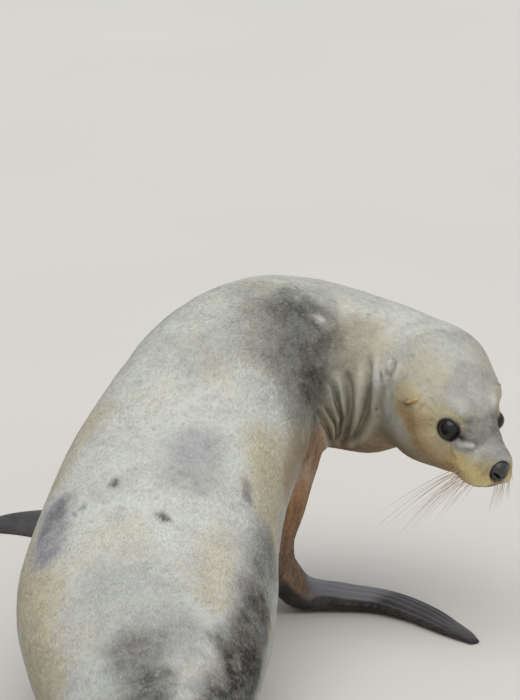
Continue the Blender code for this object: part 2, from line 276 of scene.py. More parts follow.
def spaced(rows, spacing):
    """Rows along the curve, as far apart as spacing says, and the distance from its start."""
    at = np.linspace(0, len(rows) - 1, (len(rows) - 1) * 60 + 1)
    places = smooth_through(rows, at)[:, :3]
    steps = np.linalg.norm(np.diff(places, axis=0), axis=1)
    wanted = np.interp((at[1:] + at[:-1]) / 2, np.arange(len(rows)), spacing)
    count = np.concatenate([[0], np.cumsum(steps / wanted)])
    length = np.concatenate([[0], np.cumsum(steps)])
    even = np.linspace(0, count[-1], int(round(count[-1])) + 1)
    here = np.interp(even, count, at)
    return smooth_through(rows, here), np.interp(here, at, length)


def ring_points(places, across, over, wide, rise, drop, sides, squareness):
    """Superellipses round the places, whose upper and lower halves have their own heights.
    What would sink under the floor is pressed flat on it: along the ring's own plane where
    that stands upright, else straight up."""
    turn = np.linspace(0, 2 * np.pi, sides, endpoint=False)
    side = np.sign(np.cos(turn)) * np.abs(np.cos(turn)) ** (2 / squareness)
    high = np.sign(np.sin(turn)) * np.abs(np.sin(turn)) ** (2 / squareness)
    height = np.where(high > 0, rise[:, None] * high, drop[:, None] * high)
    points = places[:, None] + across[:, None] * (wide[:, None] * side)[..., None]
    points = points + over[:, None] * height[..., None]
    lift = np.maximum(SKIN_FLOOR - points[..., 2], 0)
    steep = np.maximum(over[:, 2:], 0.5)
    press = np.where(over[:, 2:] > 0.5, over / steep, UP)
    return points + press[:, None] * lift[..., None], turn


def closed_loft(rings):
    """Triangles over a grid of rings, two to each four-sided cell, with a fan over each end.
    They all face outwards: the enclosed volume, a sum of triple products, is positive."""
    count, sides = rings.shape[:2]
    ends = np.stack([rings[0].mean(axis=0), rings[-1].mean(axis=0)])
    vertices = np.concatenate([rings.reshape(-1, 3), ends])
    k = np.arange(sides)
    n = (k + 1) % sides
    row = (np.arange(count - 1) * sides)[:, None]
    a, b, c, d = row + k, row + n, row + sides + n, row + sides + k
    cells = np.concatenate([np.stack([a, b, c], -1), np.stack([a, c, d], -1)]).reshape(-1, 3)
    last = (count - 1) * sides
    hub = count * sides
    first_fan = np.stack([n, k, np.full(sides, hub)], -1)
    last_fan = np.stack([last + k, last + n, np.full(sides, hub + 1)], -1)
    triangles = np.concatenate([cells, first_fan, last_fan])
    p, q, r = vertices[triangles].transpose(1, 0, 2)
    if np.einsum("ij,ij->i", p, np.cross(q, r)).sum() < 0:
        triangles = triangles[:, ::-1]
    return vertices, triangles


def with_facts(rings, turn, station, lie, which):
    """A closed loft with what each vertex carries: the limb it is on, its distance along it,
    its place round it as cosine and sine, and the way the hair lies."""
    vertices, triangles = closed_loft(rings)
    count, sides = rings.shape[:2]
    facts = np.zeros((len(vertices), 7))
    facts[:-2, 0] = np.repeat(station, sides)
    facts[:-2, 1] = np.tile(np.cos(turn), count)
    facts[:-2, 2] = np.tile(np.sin(turn), count)
    facts[:-2, 3:6] = np.repeat(lie, sides, axis=0)
    facts[:-2, 6] = which
    facts[-2], facts[-1] = facts[0], facts[-3]
    return vertices, triangles, facts


def make_body():
    """The trunk, neck and head as one loft from the tail to the end of the muzzle."""
    rows = [
        (*(place + SLIDE), *axes_of(yaw, pitch)[:, 0], wide, rise, drop, spacing)
        for place, yaw, pitch, wide, rise, drop, spacing in TRUNK
    ]
    rows += [
        (*in_head((ahead, above, 0)), *HEAD_AXES[:, 0], wide, rise, drop, spacing)
        for ahead, above, wide, rise, drop, spacing in HEAD
    ]
    rows = np.array(rows)
    fine, station = spaced(rows, rows[:, 9])
    facing = unit(fine[:, 3:6])
    across = unit(np.cross(facing, UP))
    over = np.cross(across, facing)
    wide, rise, drop = np.maximum(fine[:, 6:9] - COAT_DEPTH, 0.004).T
    rings, turn = ring_points(
        fine[:, :3], across, over, wide, rise, drop, BODY_SIDES, BODY_SQUARENESS
    )
    return with_facts(rings, turn, station, -facing, BODY)


def make_limb(rows, which, sides, spacing=LIMB_SPACING, chord=None):
    """Elliptic rings along a limb. Their long way keeps near the chord, or else stays level.
    The rows are place, half width, half thickness and how deep the skin lies."""
    rows = np.array([(*place, wide, thick, deep) for place, wide, thick, deep in rows])
    fine, station = spaced(rows, np.full(len(rows), spacing))
    facing = unit(np.gradient(fine[:, :3], axis=0))
    if chord is None:
        across = unit(np.cross(facing, UP))
    else:
        across = unit(np.array(chord) - (facing @ np.array(chord))[:, None] * facing)
    over = np.cross(across, facing)
    wide, thick = (np.maximum(fine[:, k] - fine[:, 5], 0.0022) for k in (3, 4))
    rings, turn = ring_points(fine[:, :3], across, over, wide, thick, thick, sides, 2.0)
    return with_facts(rings, turn, station, facing, which)


def make_fore_limb(arm, hand, chord, which):
    """Arm and flipper as one loft."""
    rows = [(place + SLIDE, wide, thick, COAT_DEPTH) for place, wide, thick in arm]
    rows += [(place + SLIDE, wide, thick, BARE_DEPTH) for place, wide, thick in hand]
    return make_limb(rows, which, LIMB_SIDES, chord=chord)


def make_hind_limb(side, which):
    """The leg and foot as one loft, then the five toes, each a loft of its own."""

    def in_rump(place):
        return RUMP_AXES @ (place[0], place[1], side * place[2]) + RUMP_PLACE + SLIDE

    rows = [(in_rump(place), wide, thick, COAT_DEPTH) for place, wide, thick in HIND_LEG]
    rows += [(in_rump(place), wide, thick, BARE_DEPTH) for place, wide, thick in HIND_FOOT]
    pieces = [make_limb(rows, which, FOOT_SIDES, 0.006)]
    end, half_width = rows[-1][0], rows[-1][1]
    ahead = unit((rows[-1][0] - rows[-2][0]) * (1, 1, 0))
    sideways = np.cross(ahead, UP)
    base = pieces[0][2][:, 0].max()
    for across, reach, wide in TOES:
        lean = math.radians(TOE_SPREAD * across)
        way = math.cos(lean) * ahead + math.sin(lean) * sideways
        root = end + sideways * across * half_width
        toe = [
            (root + way * far + UP * (TOE_THICKNESS * thick - end[2]), wide * part,
             TOE_THICKNESS * thick, BARE_DEPTH)
            for far, part, thick in (
                (-TOE_OVERLAP, 0.8, 1.0),
                (0.0, 1.0, 1.0),
                (0.6 * reach, 1.0, 0.8),
                (0.9 * reach, 0.8, 0.6),
                (reach, 0.4, 0.4),
            )
        ]
        vertices, triangles, facts = make_limb(toe, which, TOE_SIDES, 0.004)
        facts[:, 0] += base - TOE_OVERLAP
        pieces.append((vertices, triangles, facts))
    return pieces


# ---------------------------------------------------------------- meshes
def object_from(name, vertices, triangles, attributes=None):
    """An object at the origin from arrays of points and triangles, smooth shaded, with point
    attributes of one or three columns."""
    mesh = bpy.data.meshes.new(name)
    mesh.vertices.add(len(vertices))
    mesh.vertices.foreach_set("co", np.asarray(vertices, np.float32).ravel())
    mesh.loops.add(triangles.size)
    mesh.loops.foreach_set("vertex_index", np.asarray(triangles, np.int32).ravel())
    mesh.polygons.add(len(triangles))
    mesh.polygons.foreach_set("loop_start", np.arange(0, triangles.size, 3, dtype=np.int32))
    for label, values in (attributes or {}).items():
        values = np.asarray(values, np.float32)
        kind, field = ("FLOAT", "value") if values.ndim == 1 else ("FLOAT_VECTOR", "vector")
        made = mesh.attributes.new(label, kind, "POINT")
        made.data.foreach_set(field, values.ravel())
    mesh.update(calc_edges=True)
    mesh.shade_smooth()
    made = bpy.data.objects.new(name, mesh)
    bpy.context.scene.collection.objects.link(made)
    return made


def arrays_of(mesh):
    """A mesh's points and triangles as arrays."""
    vertices = np.empty(len(mesh.vertices) * 3, np.float32)
    mesh.vertices.foreach_get("co", vertices)
    mesh.calc_loop_triangles()
    triangles = np.empty(len(mesh.loop_triangles) * 3, np.int32)
    mesh.loop_triangles.foreach_get("vertices", triangles)
    return vertices.reshape(-1, 3).astype(float), triangles.reshape(-1, 3)


def joined(pieces):
    """The union of closed pieces as one surface. Each vertex keeps its facts, and one that is
    new, where two pieces cross, takes its nearest neighbour's and is marked as on a seam."""
    all_points = np.concatenate([piece[0] for piece in pieces])
    all_facts = np.concatenate([piece[2] for piece in pieces])
    things, start = [], 0
    for vertices, triangles, _ in pieces:
        source = np.arange(start, start + len(vertices))
        things.append(object_from("loose", vertices, triangles, {"source": source}))
        start += len(vertices)
    for other in things[1:]:
        step = things[0].modifiers.new("join", "BOOLEAN")
        step.operation = "UNION"
        step.solver = "MANIFOLD"
        step.object = other
    bpy.context.view_layer.update()
    graph = bpy.context.evaluated_depsgraph_get()
    mesh = bpy.data.meshes.new_from_object(things[0].evaluated_get(graph))
    points, triangles = arrays_of(mesh)
    source = np.empty(len(points), np.float32)
    mesh.attributes["source"].data.foreach_get("value", source)
    source = np.clip(np.round(source).astype(int), 0, len(all_points) - 1)
    seam = np.linalg.norm(points - all_points[source], axis=1) > 1e-5
    for thing in things:
        bpy.data.meshes.remove(thing.data)
    bpy.data.meshes.remove(mesh)
    facts = all_facts[source]
    known = np.flatnonzero(~seam)
    for at in np.array_split(np.flatnonzero(seam), 1 + seam.sum() // 200):
        gap = np.linalg.norm(points[at][:, None] - points[known][None], axis=2)
        facts[at] = facts[known[gap.argmin(axis=1)]]
    return points, triangles, facts, seam


def distance_to(points, targets):
    """The distance from each point to the nearest target."""
    found = np.empty(len(points))
    for at in np.array_split(np.arange(len(points)), 1 + len(points) * len(targets) // 4000000):
        gap = ((points[at][:, None] - targets[None]) ** 2).sum(axis=2)
        found[at] = np.sqrt(gap.min(axis=1))
    return found


def relaxed(vertices, triangles, weight, times):
    """Each vertex moves towards the mean of its neighbours by half its weight, many times."""
    pairs = np.concatenate([triangles[:, [0, 1]], triangles[:, [1, 2]], triangles[:, [2, 0]]])
    pairs = np.unique(np.sort(pairs, axis=1), axis=0)
    pairs = np.concatenate([pairs, pairs[:, ::-1]])
    pairs = pairs[weight[pairs[:, 0]] > 0.004]
    active, inverse = np.unique(pairs[:, 0], return_inverse=True)
    degree = np.bincount(inverse)[:, None]
    pull = 0.5 * weight[active][:, None]
    vertices = vertices.copy()
    for _ in range(times):
        near = vertices[pairs[:, 1]]
        total = np.stack([np.bincount(inverse, near[:, k]) for k in range(3)], axis=1)
        vertices[active] += pull * (total / degree - vertices[active])
    return vertices


def relaxed_values(values, triangles, times):
    """Point values moved halfway to the mean of their neighbours, many times."""
    pairs = np.concatenate([triangles[:, [0, 1]], triangles[:, [1, 2]], triangles[:, [2, 0]]])
    pairs = np.concatenate([pairs, pairs[:, ::-1]])
    degree = np.maximum(np.bincount(pairs[:, 0], minlength=len(values)), 1)
    for _ in range(times):
        near = np.bincount(pairs[:, 0], values[pairs[:, 1]], len(values)) / degree
        values = (values + near) / 2
    return values


def normals_of(vertices, triangles):
    """Each vertex's normal: the sum of its triangles' cross products, at length one."""
    p, q, r = vertices[triangles].transpose(1, 0, 2)
    face = np.cross(q - p, r - p)
    corners = triangles.ravel()
    spread = np.repeat(face, 3, axis=0)
    total = [np.bincount(corners, spread[:, k], len(vertices)) for k in range(3)]
    return unit(np.stack(total, axis=1))


def refined(vertices, triangles, facts, chosen):
    """Triangles whose three vertices are chosen become four, and a triangle that shares one
    split edge becomes two. A new point is the edge's middle, moved three quarters of the way
    to the mean of its projections on the planes of the two ends, so that it lies on the curve."""
    normals = normals_of(vertices, triangles)
    edges = np.concatenate([triangles[:, [0, 1]], triangles[:, [1, 2]], triangles[:, [2, 0]]])
    split = chosen[edges].all(axis=1)
    keys, inverse = np.unique(np.sort(edges[split], axis=1), axis=0, return_inverse=True)
    a, b = keys.T
    middle = (vertices[a] + vertices[b]) / 2
    flat = [
        middle - np.einsum("ij,ij->i", middle - vertices[end], normals[end])[:, None] * normals[end]
        for end in (a, b)
    ]
    middle = 0.25 * middle + 0.75 * (flat[0] + flat[1]) / 2
    new = np.full(len(edges), -1)
    new[split] = len(vertices) + inverse.ravel()
    mids = new.reshape(3, -1).T
    count = (mids >= 0).sum(axis=1)
    whole, cut = triangles[count == 0], triangles[count == 3]
    m = mids[count == 3]
    four = [
        np.stack([cut[:, 0], m[:, 0], m[:, 2]], 1),
        np.stack([m[:, 0], cut[:, 1], m[:, 1]], 1),
        np.stack([m[:, 2], m[:, 1], cut[:, 2]], 1),
        m,
    ]
    half, edge = triangles[count == 1], mids[count == 1].argmax(axis=1)
    row = np.arange(len(half))
    at = mids[count == 1][row, edge]
    one, two, three = (half[row, (edge + k) % 3] for k in range(3))
    pair = [np.stack([one, at, three], 1), np.stack([at, two, three], 1)]
    facts = np.concatenate([facts, (facts[a] + facts[b]) / 2])
    facts[len(vertices) :, 6] = facts[a, 6]
    return np.concatenate([vertices, middle]), np.concatenate([whole, *four, *pair]), facts


# ---------------------------------------------------------------- the skin's shape
def eye_frame(side):
    """The middle of an eye, and unit vectors out of the eye, towards the nose and up. The eye
    looks forward and outwards, and its line of corners falls towards the nose."""
    out = unit(HEAD_AXES @ (0.52, 0.10, 0.85 * side))
    nasal = HEAD_AXES @ (0.85, 0.04, -0.50 * side)
    nasal = unit(nasal - (nasal @ out) * out)
    above = np.cross(out, nasal) * side
    above = above if above @ HEAD_AXES[:, 1] > 0 else -above
    centre = in_head((EYE_PLACE[0], EYE_PLACE[1], side * EYE_PLACE[2])) - EYE_SINK * out
    return centre, out, nasal, above


# Half angles of the lids' opening: away from the nose, towards it, and up and down
EYE_WIDE = math.radians(63)
EYE_NASAL = math.radians(76)
EYE_TALL = math.radians(62)
LID_DEPTH = 0.0045  # how far inside the eyeball the skin is tucked in the opening
LID_RISE = 0.0014  # how far the rim stands off the eyeball
LID_REACH = 0.060  # how far from the eye's middle the skin is drawn in


def eye_opening(points, side):
    """How far points lie from the middle of the lids' opening: below 1 in it, 1 at the rim.
    Angles from the eye's axis, over the half angles of an almond that is pointed at the nose."""
    centre, out, nasal, above = eye_frame(side)
    arm = points - centre
    reach = np.linalg.norm(arm, axis=1)
    way = arm / reach[:, None]
    forth, up, ahead = way @ nasal, way @ above, way @ out
    round_axis = np.arctan2(np.hypot(forth, up), ahead)
    scale = round_axis / np.maximum(np.hypot(forth, up), 1e-9)
    forth, up = forth * scale, up * scale
    toward_nose = forth > 0
    half = np.where(toward_nose, EYE_NASAL, EYE_WIDE)
    power = np.where(toward_nose, 1.35, 2.0)
    tall = EYE_TALL * np.where(up > 0, 0.94, 1.0)
    measure = (np.abs(forth) / half) ** power + (np.abs(up) / tall) ** 2
    return measure ** (1 / 1.85), reach, forth, up


def on_head(facts):
    """1 for vertices of the head, 0 for the rest of the animal."""
    return (facts[:, 6] == BODY) & (facts[:, 0] > HEAD_START)


def shape_pads(vertices, triangles, facts):
    """Brows, whisker pads and chin: a vertex inside an ellipsoid moves out along its normal to
    the ellipsoid's surface, and the move is spread a little."""
    normals = normals_of(vertices, triangles)
    place, way = from_head(vertices), normals @ HEAD_AXES
    move = np.zeros(len(vertices))
    for side in (1, -1):
        for (ahead, above, aside), radii in HEAD_PADS:
            p = (place - (ahead, above, side * aside)) / (np.array(radii) - COAT_DEPTH)
            d = way / (np.array(radii) - COAT_DEPTH)
            a, b = (d * d).sum(axis=1), (p * d).sum(axis=1)
            inside = (p * p).sum(axis=1) - 1
            out = (-b + np.sqrt(np.maximum(b * b - a * inside, 0))) / a
            move = np.maximum(move, np.where(inside < 0, out, 0))
    move = relaxed_values(np.where(on_head(facts), move, 0), triangles, 40)
    return vertices + normals * move[:, None]


def deepen_muzzle(vertices, facts):
    """The lower half of the muzzle and jaw hangs lower than the solid, by a smooth share."""
    ahead, above, _ = from_head(vertices).T
    share = smoothstep(0.035, 0.120, ahead) * smoothstep(-0.010, -0.055, above)
    drop = np.where(on_head(facts), MUZZLE_DROP * share, 0)
    return vertices - drop[:, None] * HEAD_AXES[:, 1]


def mouth_line(ahead):
    """The height of the mouth's line in the head's frame, by distance forward."""
    places = ((0.075, -0.074), (0.090, -0.080), (0.110, -0.0805), (0.130, -0.0765),
              (0.150, -0.0715), (0.168, -0.067), (0.178, -0.0645), (0.190, -0.063))
    return np.interp(ahead, *np.array(places).T)


def shape_head(vertices, triangles, facts):
    """Hollow of the face before the eye, mouth, groove under the nose, and cheeks."""
    normals = normals_of(vertices, triangles)
    ahead, above, aside = from_head(vertices).T
    side = np.abs(aside)
    move = np.zeros(len(vertices))
    # the brow over the eye, and the root of the nose between the eyes
    brow = np.hypot(np.hypot((ahead - 0.081) / 0.026, (above - 0.036) / 0.019), (side - 0.053) / 0.022)
    move += 0.0022 * bump(brow, 1.0)
    root = np.hypot(np.hypot((ahead - 0.103) / 0.021, (above - 0.014) / 0.020), side / 0.036)
    move += 0.0062 * bump(root, 1.0)
    # a shallow hollow from the eye's nasal corner down the muzzle
    hollow = bump(ahead - 0.112, 0.020) * bump(above + 0.014, 0.016)
    move -= 0.0018 * hollow * smoothstep(0.012, 0.03, side)
    # the mouth: a crease from under the nose to below the eye, and the lower lip set in
    drop = above - mouth_line(ahead) - 0.0060 * smoothstep(0.155, 0.175, ahead) * bump(side, 0.017)
    span = smoothstep(0.070, 0.088, ahead) * (ahead < 0.20)
    lower = smoothstep(0.0, -0.006, drop) * smoothstep(-0.032, -0.012, drop)
    move -= span * (0.0042 * bump(drop, 0.0024) + 0.0022 * lower)
    move += span * 0.0016 * bump(drop - 0.0065, 0.0045)
    # the groove that splits the upper lip below the nose
    front = smoothstep(0.165, 0.178, ahead)
    move -= front * 0.0022 * bump(aside, 0.0020) * smoothstep(-0.066, -0.058, above) * (above < -0.03)
    # the seat of the nose pad
    seat = np.hypot(aside / (NOSE_WIDE + 0.001), (above - NOSE_PLACE[1]) / (NOSE_RISE + 0.001))
    sunk = smoothstep(1.12, 0.86, seat) * np.maximum(ahead - NOSE_SEAT, 0)
    vertices = vertices - np.where(on_head(facts), sunk, 0)[:, None] * HEAD_AXES[:, 0]
    # cheek and jaw
    cheek = bump(ahead - 0.055, 0.026) * bump(above + 0.062, 0.022)
    move += 0.0030 * cheek * smoothstep(0.02, 0.05, side)
    return vertices + normals * np.where(on_head(facts), move, 0)[:, None]


def shape_lids(vertices):
    """The skin closes round each eyeball: near it a vertex's distance from the eye's middle
    goes, with distance from the opening, from inside the eyeball, over a rounded rim, to the
    face. A crease runs over the upper lid and a softer one under the lower. Towards the nose the
    face runs almost straight away from the eye, so there the distance itself sets it free."""
    for side in (1, -1):
        centre = eye_frame(side)[0]
        q, reach, forth, up = eye_opening(vertices, side)
        near = (reach < LID_REACH) & (q < 3.2)
        hidden = EYE_RADIUS - LID_DEPTH
        rim = EYE_RADIUS + LID_RISE * smoothstep(0.96, 1.10, q) + 0.0006 * bump(q - 1.12, 0.08)
        shell = np.where(q < 1.0, hidden + (EYE_RADIUS - hidden) * smoothstep(0.90, 1.0, q), rim)
        crease = 0.0016 * bump(q - 1.42, 0.07) * smoothstep(-0.1, 0.3, up)
        crease += 0.0010 * bump(q - 1.50, 0.10) * smoothstep(0.1, -0.3, up)
        free = np.maximum(reach, EYE_RADIUS + LID_RISE * smoothstep(2.4, 1.2, q))
        low = np.where(up > 0, 0.30, 0)
        nasal = smoothstep(0.25 + low, 0.65 + low, forth / np.maximum(np.hypot(forth, up), 1e-9))
        away = nasal * smoothstep(EYE_RADIUS + 0.010, EYE_RADIUS + 0.030, reach)
        far = np.maximum(smoothstep(1.06, 1.70, q), away)
        wanted = shell * (1 - far) + free * far - crease * (1 - away)
        wanted = np.where(near, wanted, reach)
        vertices = centre + (vertices - centre) * (wanted / reach)[:, None]
    return vertices


# Creases: depth, half width, and the places that each runs through
CREASES = (
    # the inner side of the neck's bend
    (0.0102, 0.0084, ((0.422, -0.305, 0.512), (0.408, -0.314, 0.482), (0.401, -0.319, 0.456),
                      (0.404, -0.315, 0.431), (0.413, -0.308, 0.402), (0.426, -0.290, 0.363),
                      (0.452, -0.266, 0.330))),
    (0.0129, 0.0081, ((0.410, -0.268, 0.484), (0.405, -0.277, 0.451), (0.407, -0.279, 0.423),
                      (0.410, -0.278, 0.404), (0.419, -0.273, 0.373), (0.440, -0.259, 0.341),
                      (0.462, -0.240, 0.318))),
    (0.0109, 0.0063, ((0.380, -0.247, 0.474), (0.391, -0.253, 0.447), (0.405, -0.258, 0.412),
                      (0.417, -0.260, 0.385), (0.425, -0.254, 0.359), (0.444, -0.242, 0.334))),
    (0.0079, 0.0052, ((0.369, -0.243, 0.419), (0.396, -0.245, 0.398), (0.412, -0.248, 0.378),
                      (0.430, -0.246, 0.350), (0.450, -0.237, 0.328))),
    (0.0083, 0.0056, ((0.330, -0.240, 0.424), (0.369, -0.238, 0.396), (0.405, -0.238, 0.367),
                      (0.431, -0.236, 0.338), (0.462, -0.227, 0.314))),
    # behind the ear
    (0.0049, 0.0056, ((0.392, -0.370, 0.510), (0.384, -0.365, 0.493), (0.382, -0.359, 0.475))),
    (0.0036, 0.0043, ((0.390, -0.352, 0.494), (0.383, -0.356, 0.478))),
    (0.0036, 0.0043, ((0.394, -0.340, 0.488), (0.386, -0.346, 0.472))),
    (0.0026, 0.0078, ((0.382, -0.352, 0.466), (0.388, -0.342, 0.440), (0.396, -0.338, 0.412))),
    (0.0033, 0.0040, ((0.405, -0.326, 0.408), (0.398, -0.335, 0.419))),
)


def distance_to_line(points, places):
    """The distance from each point to a line of straight pieces through the places, and how
    far along it the nearest spot is, from 0 to 1."""
    places = np.array(places)
    lengths = np.linalg.norm(np.diff(places, axis=0), axis=1)
    starts = np.concatenate([[0], np.cumsum(lengths)[:-1]])
    best, where = np.full(len(points), 9.0), np.zeros(len(points))
    for start, end, length, before in zip(places[:-1], places[1:], lengths, starts):
        t = np.clip((points - start) @ (end - start) / length**2, 0, 1)
        gap = np.linalg.norm(points - start - t[:, None] * (end - start), axis=1)
        closer = gap < best
        best = np.where(closer, gap, best)
        where = np.where(closer, (before + t * length) / lengths.sum(), where)
    return best, where


def creases(points):
    """The move of the skin at its creases, the painted shade in each, the painted highlight on its
    rolls and how near they are. A crease is a valley along its line with a soft roll on each side,
    which fades at both ends."""
    move, shade, light, close = np.zeros((4, len(points)))
    for deep, wide, places in CREASES:
        near = np.flatnonzero(np.linalg.norm(points - np.mean(places, axis=0), axis=1) < 0.20)
        gap, where = distance_to_line(points[near], places)
        window = smoothstep(-0.02, 0.22, where) * smoothstep(1.04, 0.82, where)
        window = np.where(gap < 6 * wide, window, 0)
        valley = bump(gap, wide) * 0.6 + bump(gap, 0.5 * wide) * 0.4
        move[near] += window * deep * (0.45 * bump(gap - 2.0 * wide, wide) - valley)
        strong = window * min(1, deep / 0.006)
        # painted shade along each crease, and painted highlight on the rolls beside it
        shade[near] = np.maximum(shade[near], strong * bump(gap, 0.72 * wide))
        light[near] = np.maximum(light[near], strong * bump(gap - 2.0 * wide, 0.8 * wide))
        close[near] = np.maximum(close[near], window * bump(gap, 3.2 * wide))
    return move, shade, light * (1 - shade), close


def shape_trunk(vertices, triangles, facts):
    """Soft forms under the skin: fat that rolls a little, as slow noise over the trunk, and the
    neck's folds."""
    normals = normals_of(vertices, triangles)
    move = creases(vertices)[0]
    body = facts[:, 6] == BODY
    slow = cloud_noise(vertices * (1, 1, 1.2), 0.16, 3, 2)
    fine = cloud_noise(vertices, 0.035, 9, 2)
    station = facts[:, 0]
    on_trunk = smoothstep(0.05, 0.3, station) * smoothstep(1.75, 1.55, station)
    move += np.where(body, on_trunk * (0.0030 * slow + 0.0005 * fine), 0)
    return vertices + normals * move[:, None]


def shape_flippers(vertices, triangles, facts):
    """Ridges of the fingers down each fore flipper, as waves across it, with a frilled trailing
    edge, and wrinkles round the wrists: waves along the limb that bend with noise."""
    normals = normals_of(vertices, triangles)
    station, across = facts[:, 0], facts[:, 1]
    fore = (facts[:, 6] == FORE_R) | (facts[:, 6] == FORE_L)
    hand = smoothstep(0.36, 0.44, station) * smoothstep(0.76, 0.66, station)
    wobble = cloud_noise(vertices, 0.05, 51, 2)
    rays = np.cos(2 * np.pi * (2.4 * across + 0.15 * wobble)) * smoothstep(1.0, 0.85, np.abs(across))
    frill = smoothstep(-0.80, -0.97, across) * np.sin(station * 260 + 2.5 * wobble)
    wrist = bump(station - 0.335, 0.055)
    rings = np.sin(station * 420 + 5.0 * wobble) * wrist
    move = hand * (0.0011 * rays + 0.0014 * frill) + 0.0008 * rings
    return vertices + normals * np.where(fore, move, 0)[:, None]


def build_skin():
    """The joined, blended and shaped skin: points, triangles and facts."""
    feet = [joined(make_hind_limb(side, which)) for side, which in ((1, HIND_R), (-1, HIND_L))]
    hind = []
    for points, triangles, facts, seam in feet:
        near = bump(distance_to(points, points[seam]), 0.010)
        hind.append((relaxed(points, triangles, near, 6), triangles, facts))
    fore = [
        make_fore_limb(RIGHT_ARM, RIGHT_HAND, RIGHT_CHORD, FORE_R),
        make_fore_limb(LEFT_ARM, LEFT_HAND, LEFT_CHORD, FORE_L),
    ]
    points, triangles, facts, seam = joined([make_body(), *fore, *hind])
    near = bump(distance_to(points, points[seam]), 0.050)
    points = relaxed(points, triangles, near, 70)
    points = deepen_muzzle(points, facts)
    points = shape_pads(points, triangles, facts)
    ahead, above, aside = from_head(points).T
    stop = bump(np.hypot((ahead - 0.100) / 0.030, (above - 0.012) / 0.030), 1.0)
    stop = stop * smoothstep(0.052, 0.036, np.abs(aside)) * on_head(facts)
    points = relaxed(points, triangles, stop, 110)
    ahead, above, aside = from_head(points).T
    mouth = (np.abs(above - mouth_line(ahead)) < 0.007) & (ahead > 0.07)
    front = (ahead > 0.165) & (np.abs(aside) < 0.010) & (above < -0.04)
    around_eyes = np.minimum(*(eye_opening(points, side)[1] for side in (1, -1))) < 0.046
    chosen = (mouth | front | around_eyes) & on_head(facts)
    points, triangles, facts = refined(points, triangles, facts, chosen)
    for side in (1, -1):
        q, reach, _, _ = eye_opening(points, side)
        near = (reach < 0.032) & (q < 1.45) & (q > 0.6)
        points, triangles, facts = refined(points, triangles, facts, near)
    points = shape_head(points, triangles, facts)
    points = shape_lids(points)
    points = shape_trunk(points, triangles, facts)
    points = shape_flippers(points, triangles, facts)
    points[:, 2] = np.maximum(points[:, 2], SKIN_FLOOR)
    return points, triangles, facts


# ---------------------------------------------------------------- markings
# Blotches below the first radius are spots, and from the second on they are broad patches
SPOT_RADIUS = 0.020
PATCH_RADIUS = 0.045
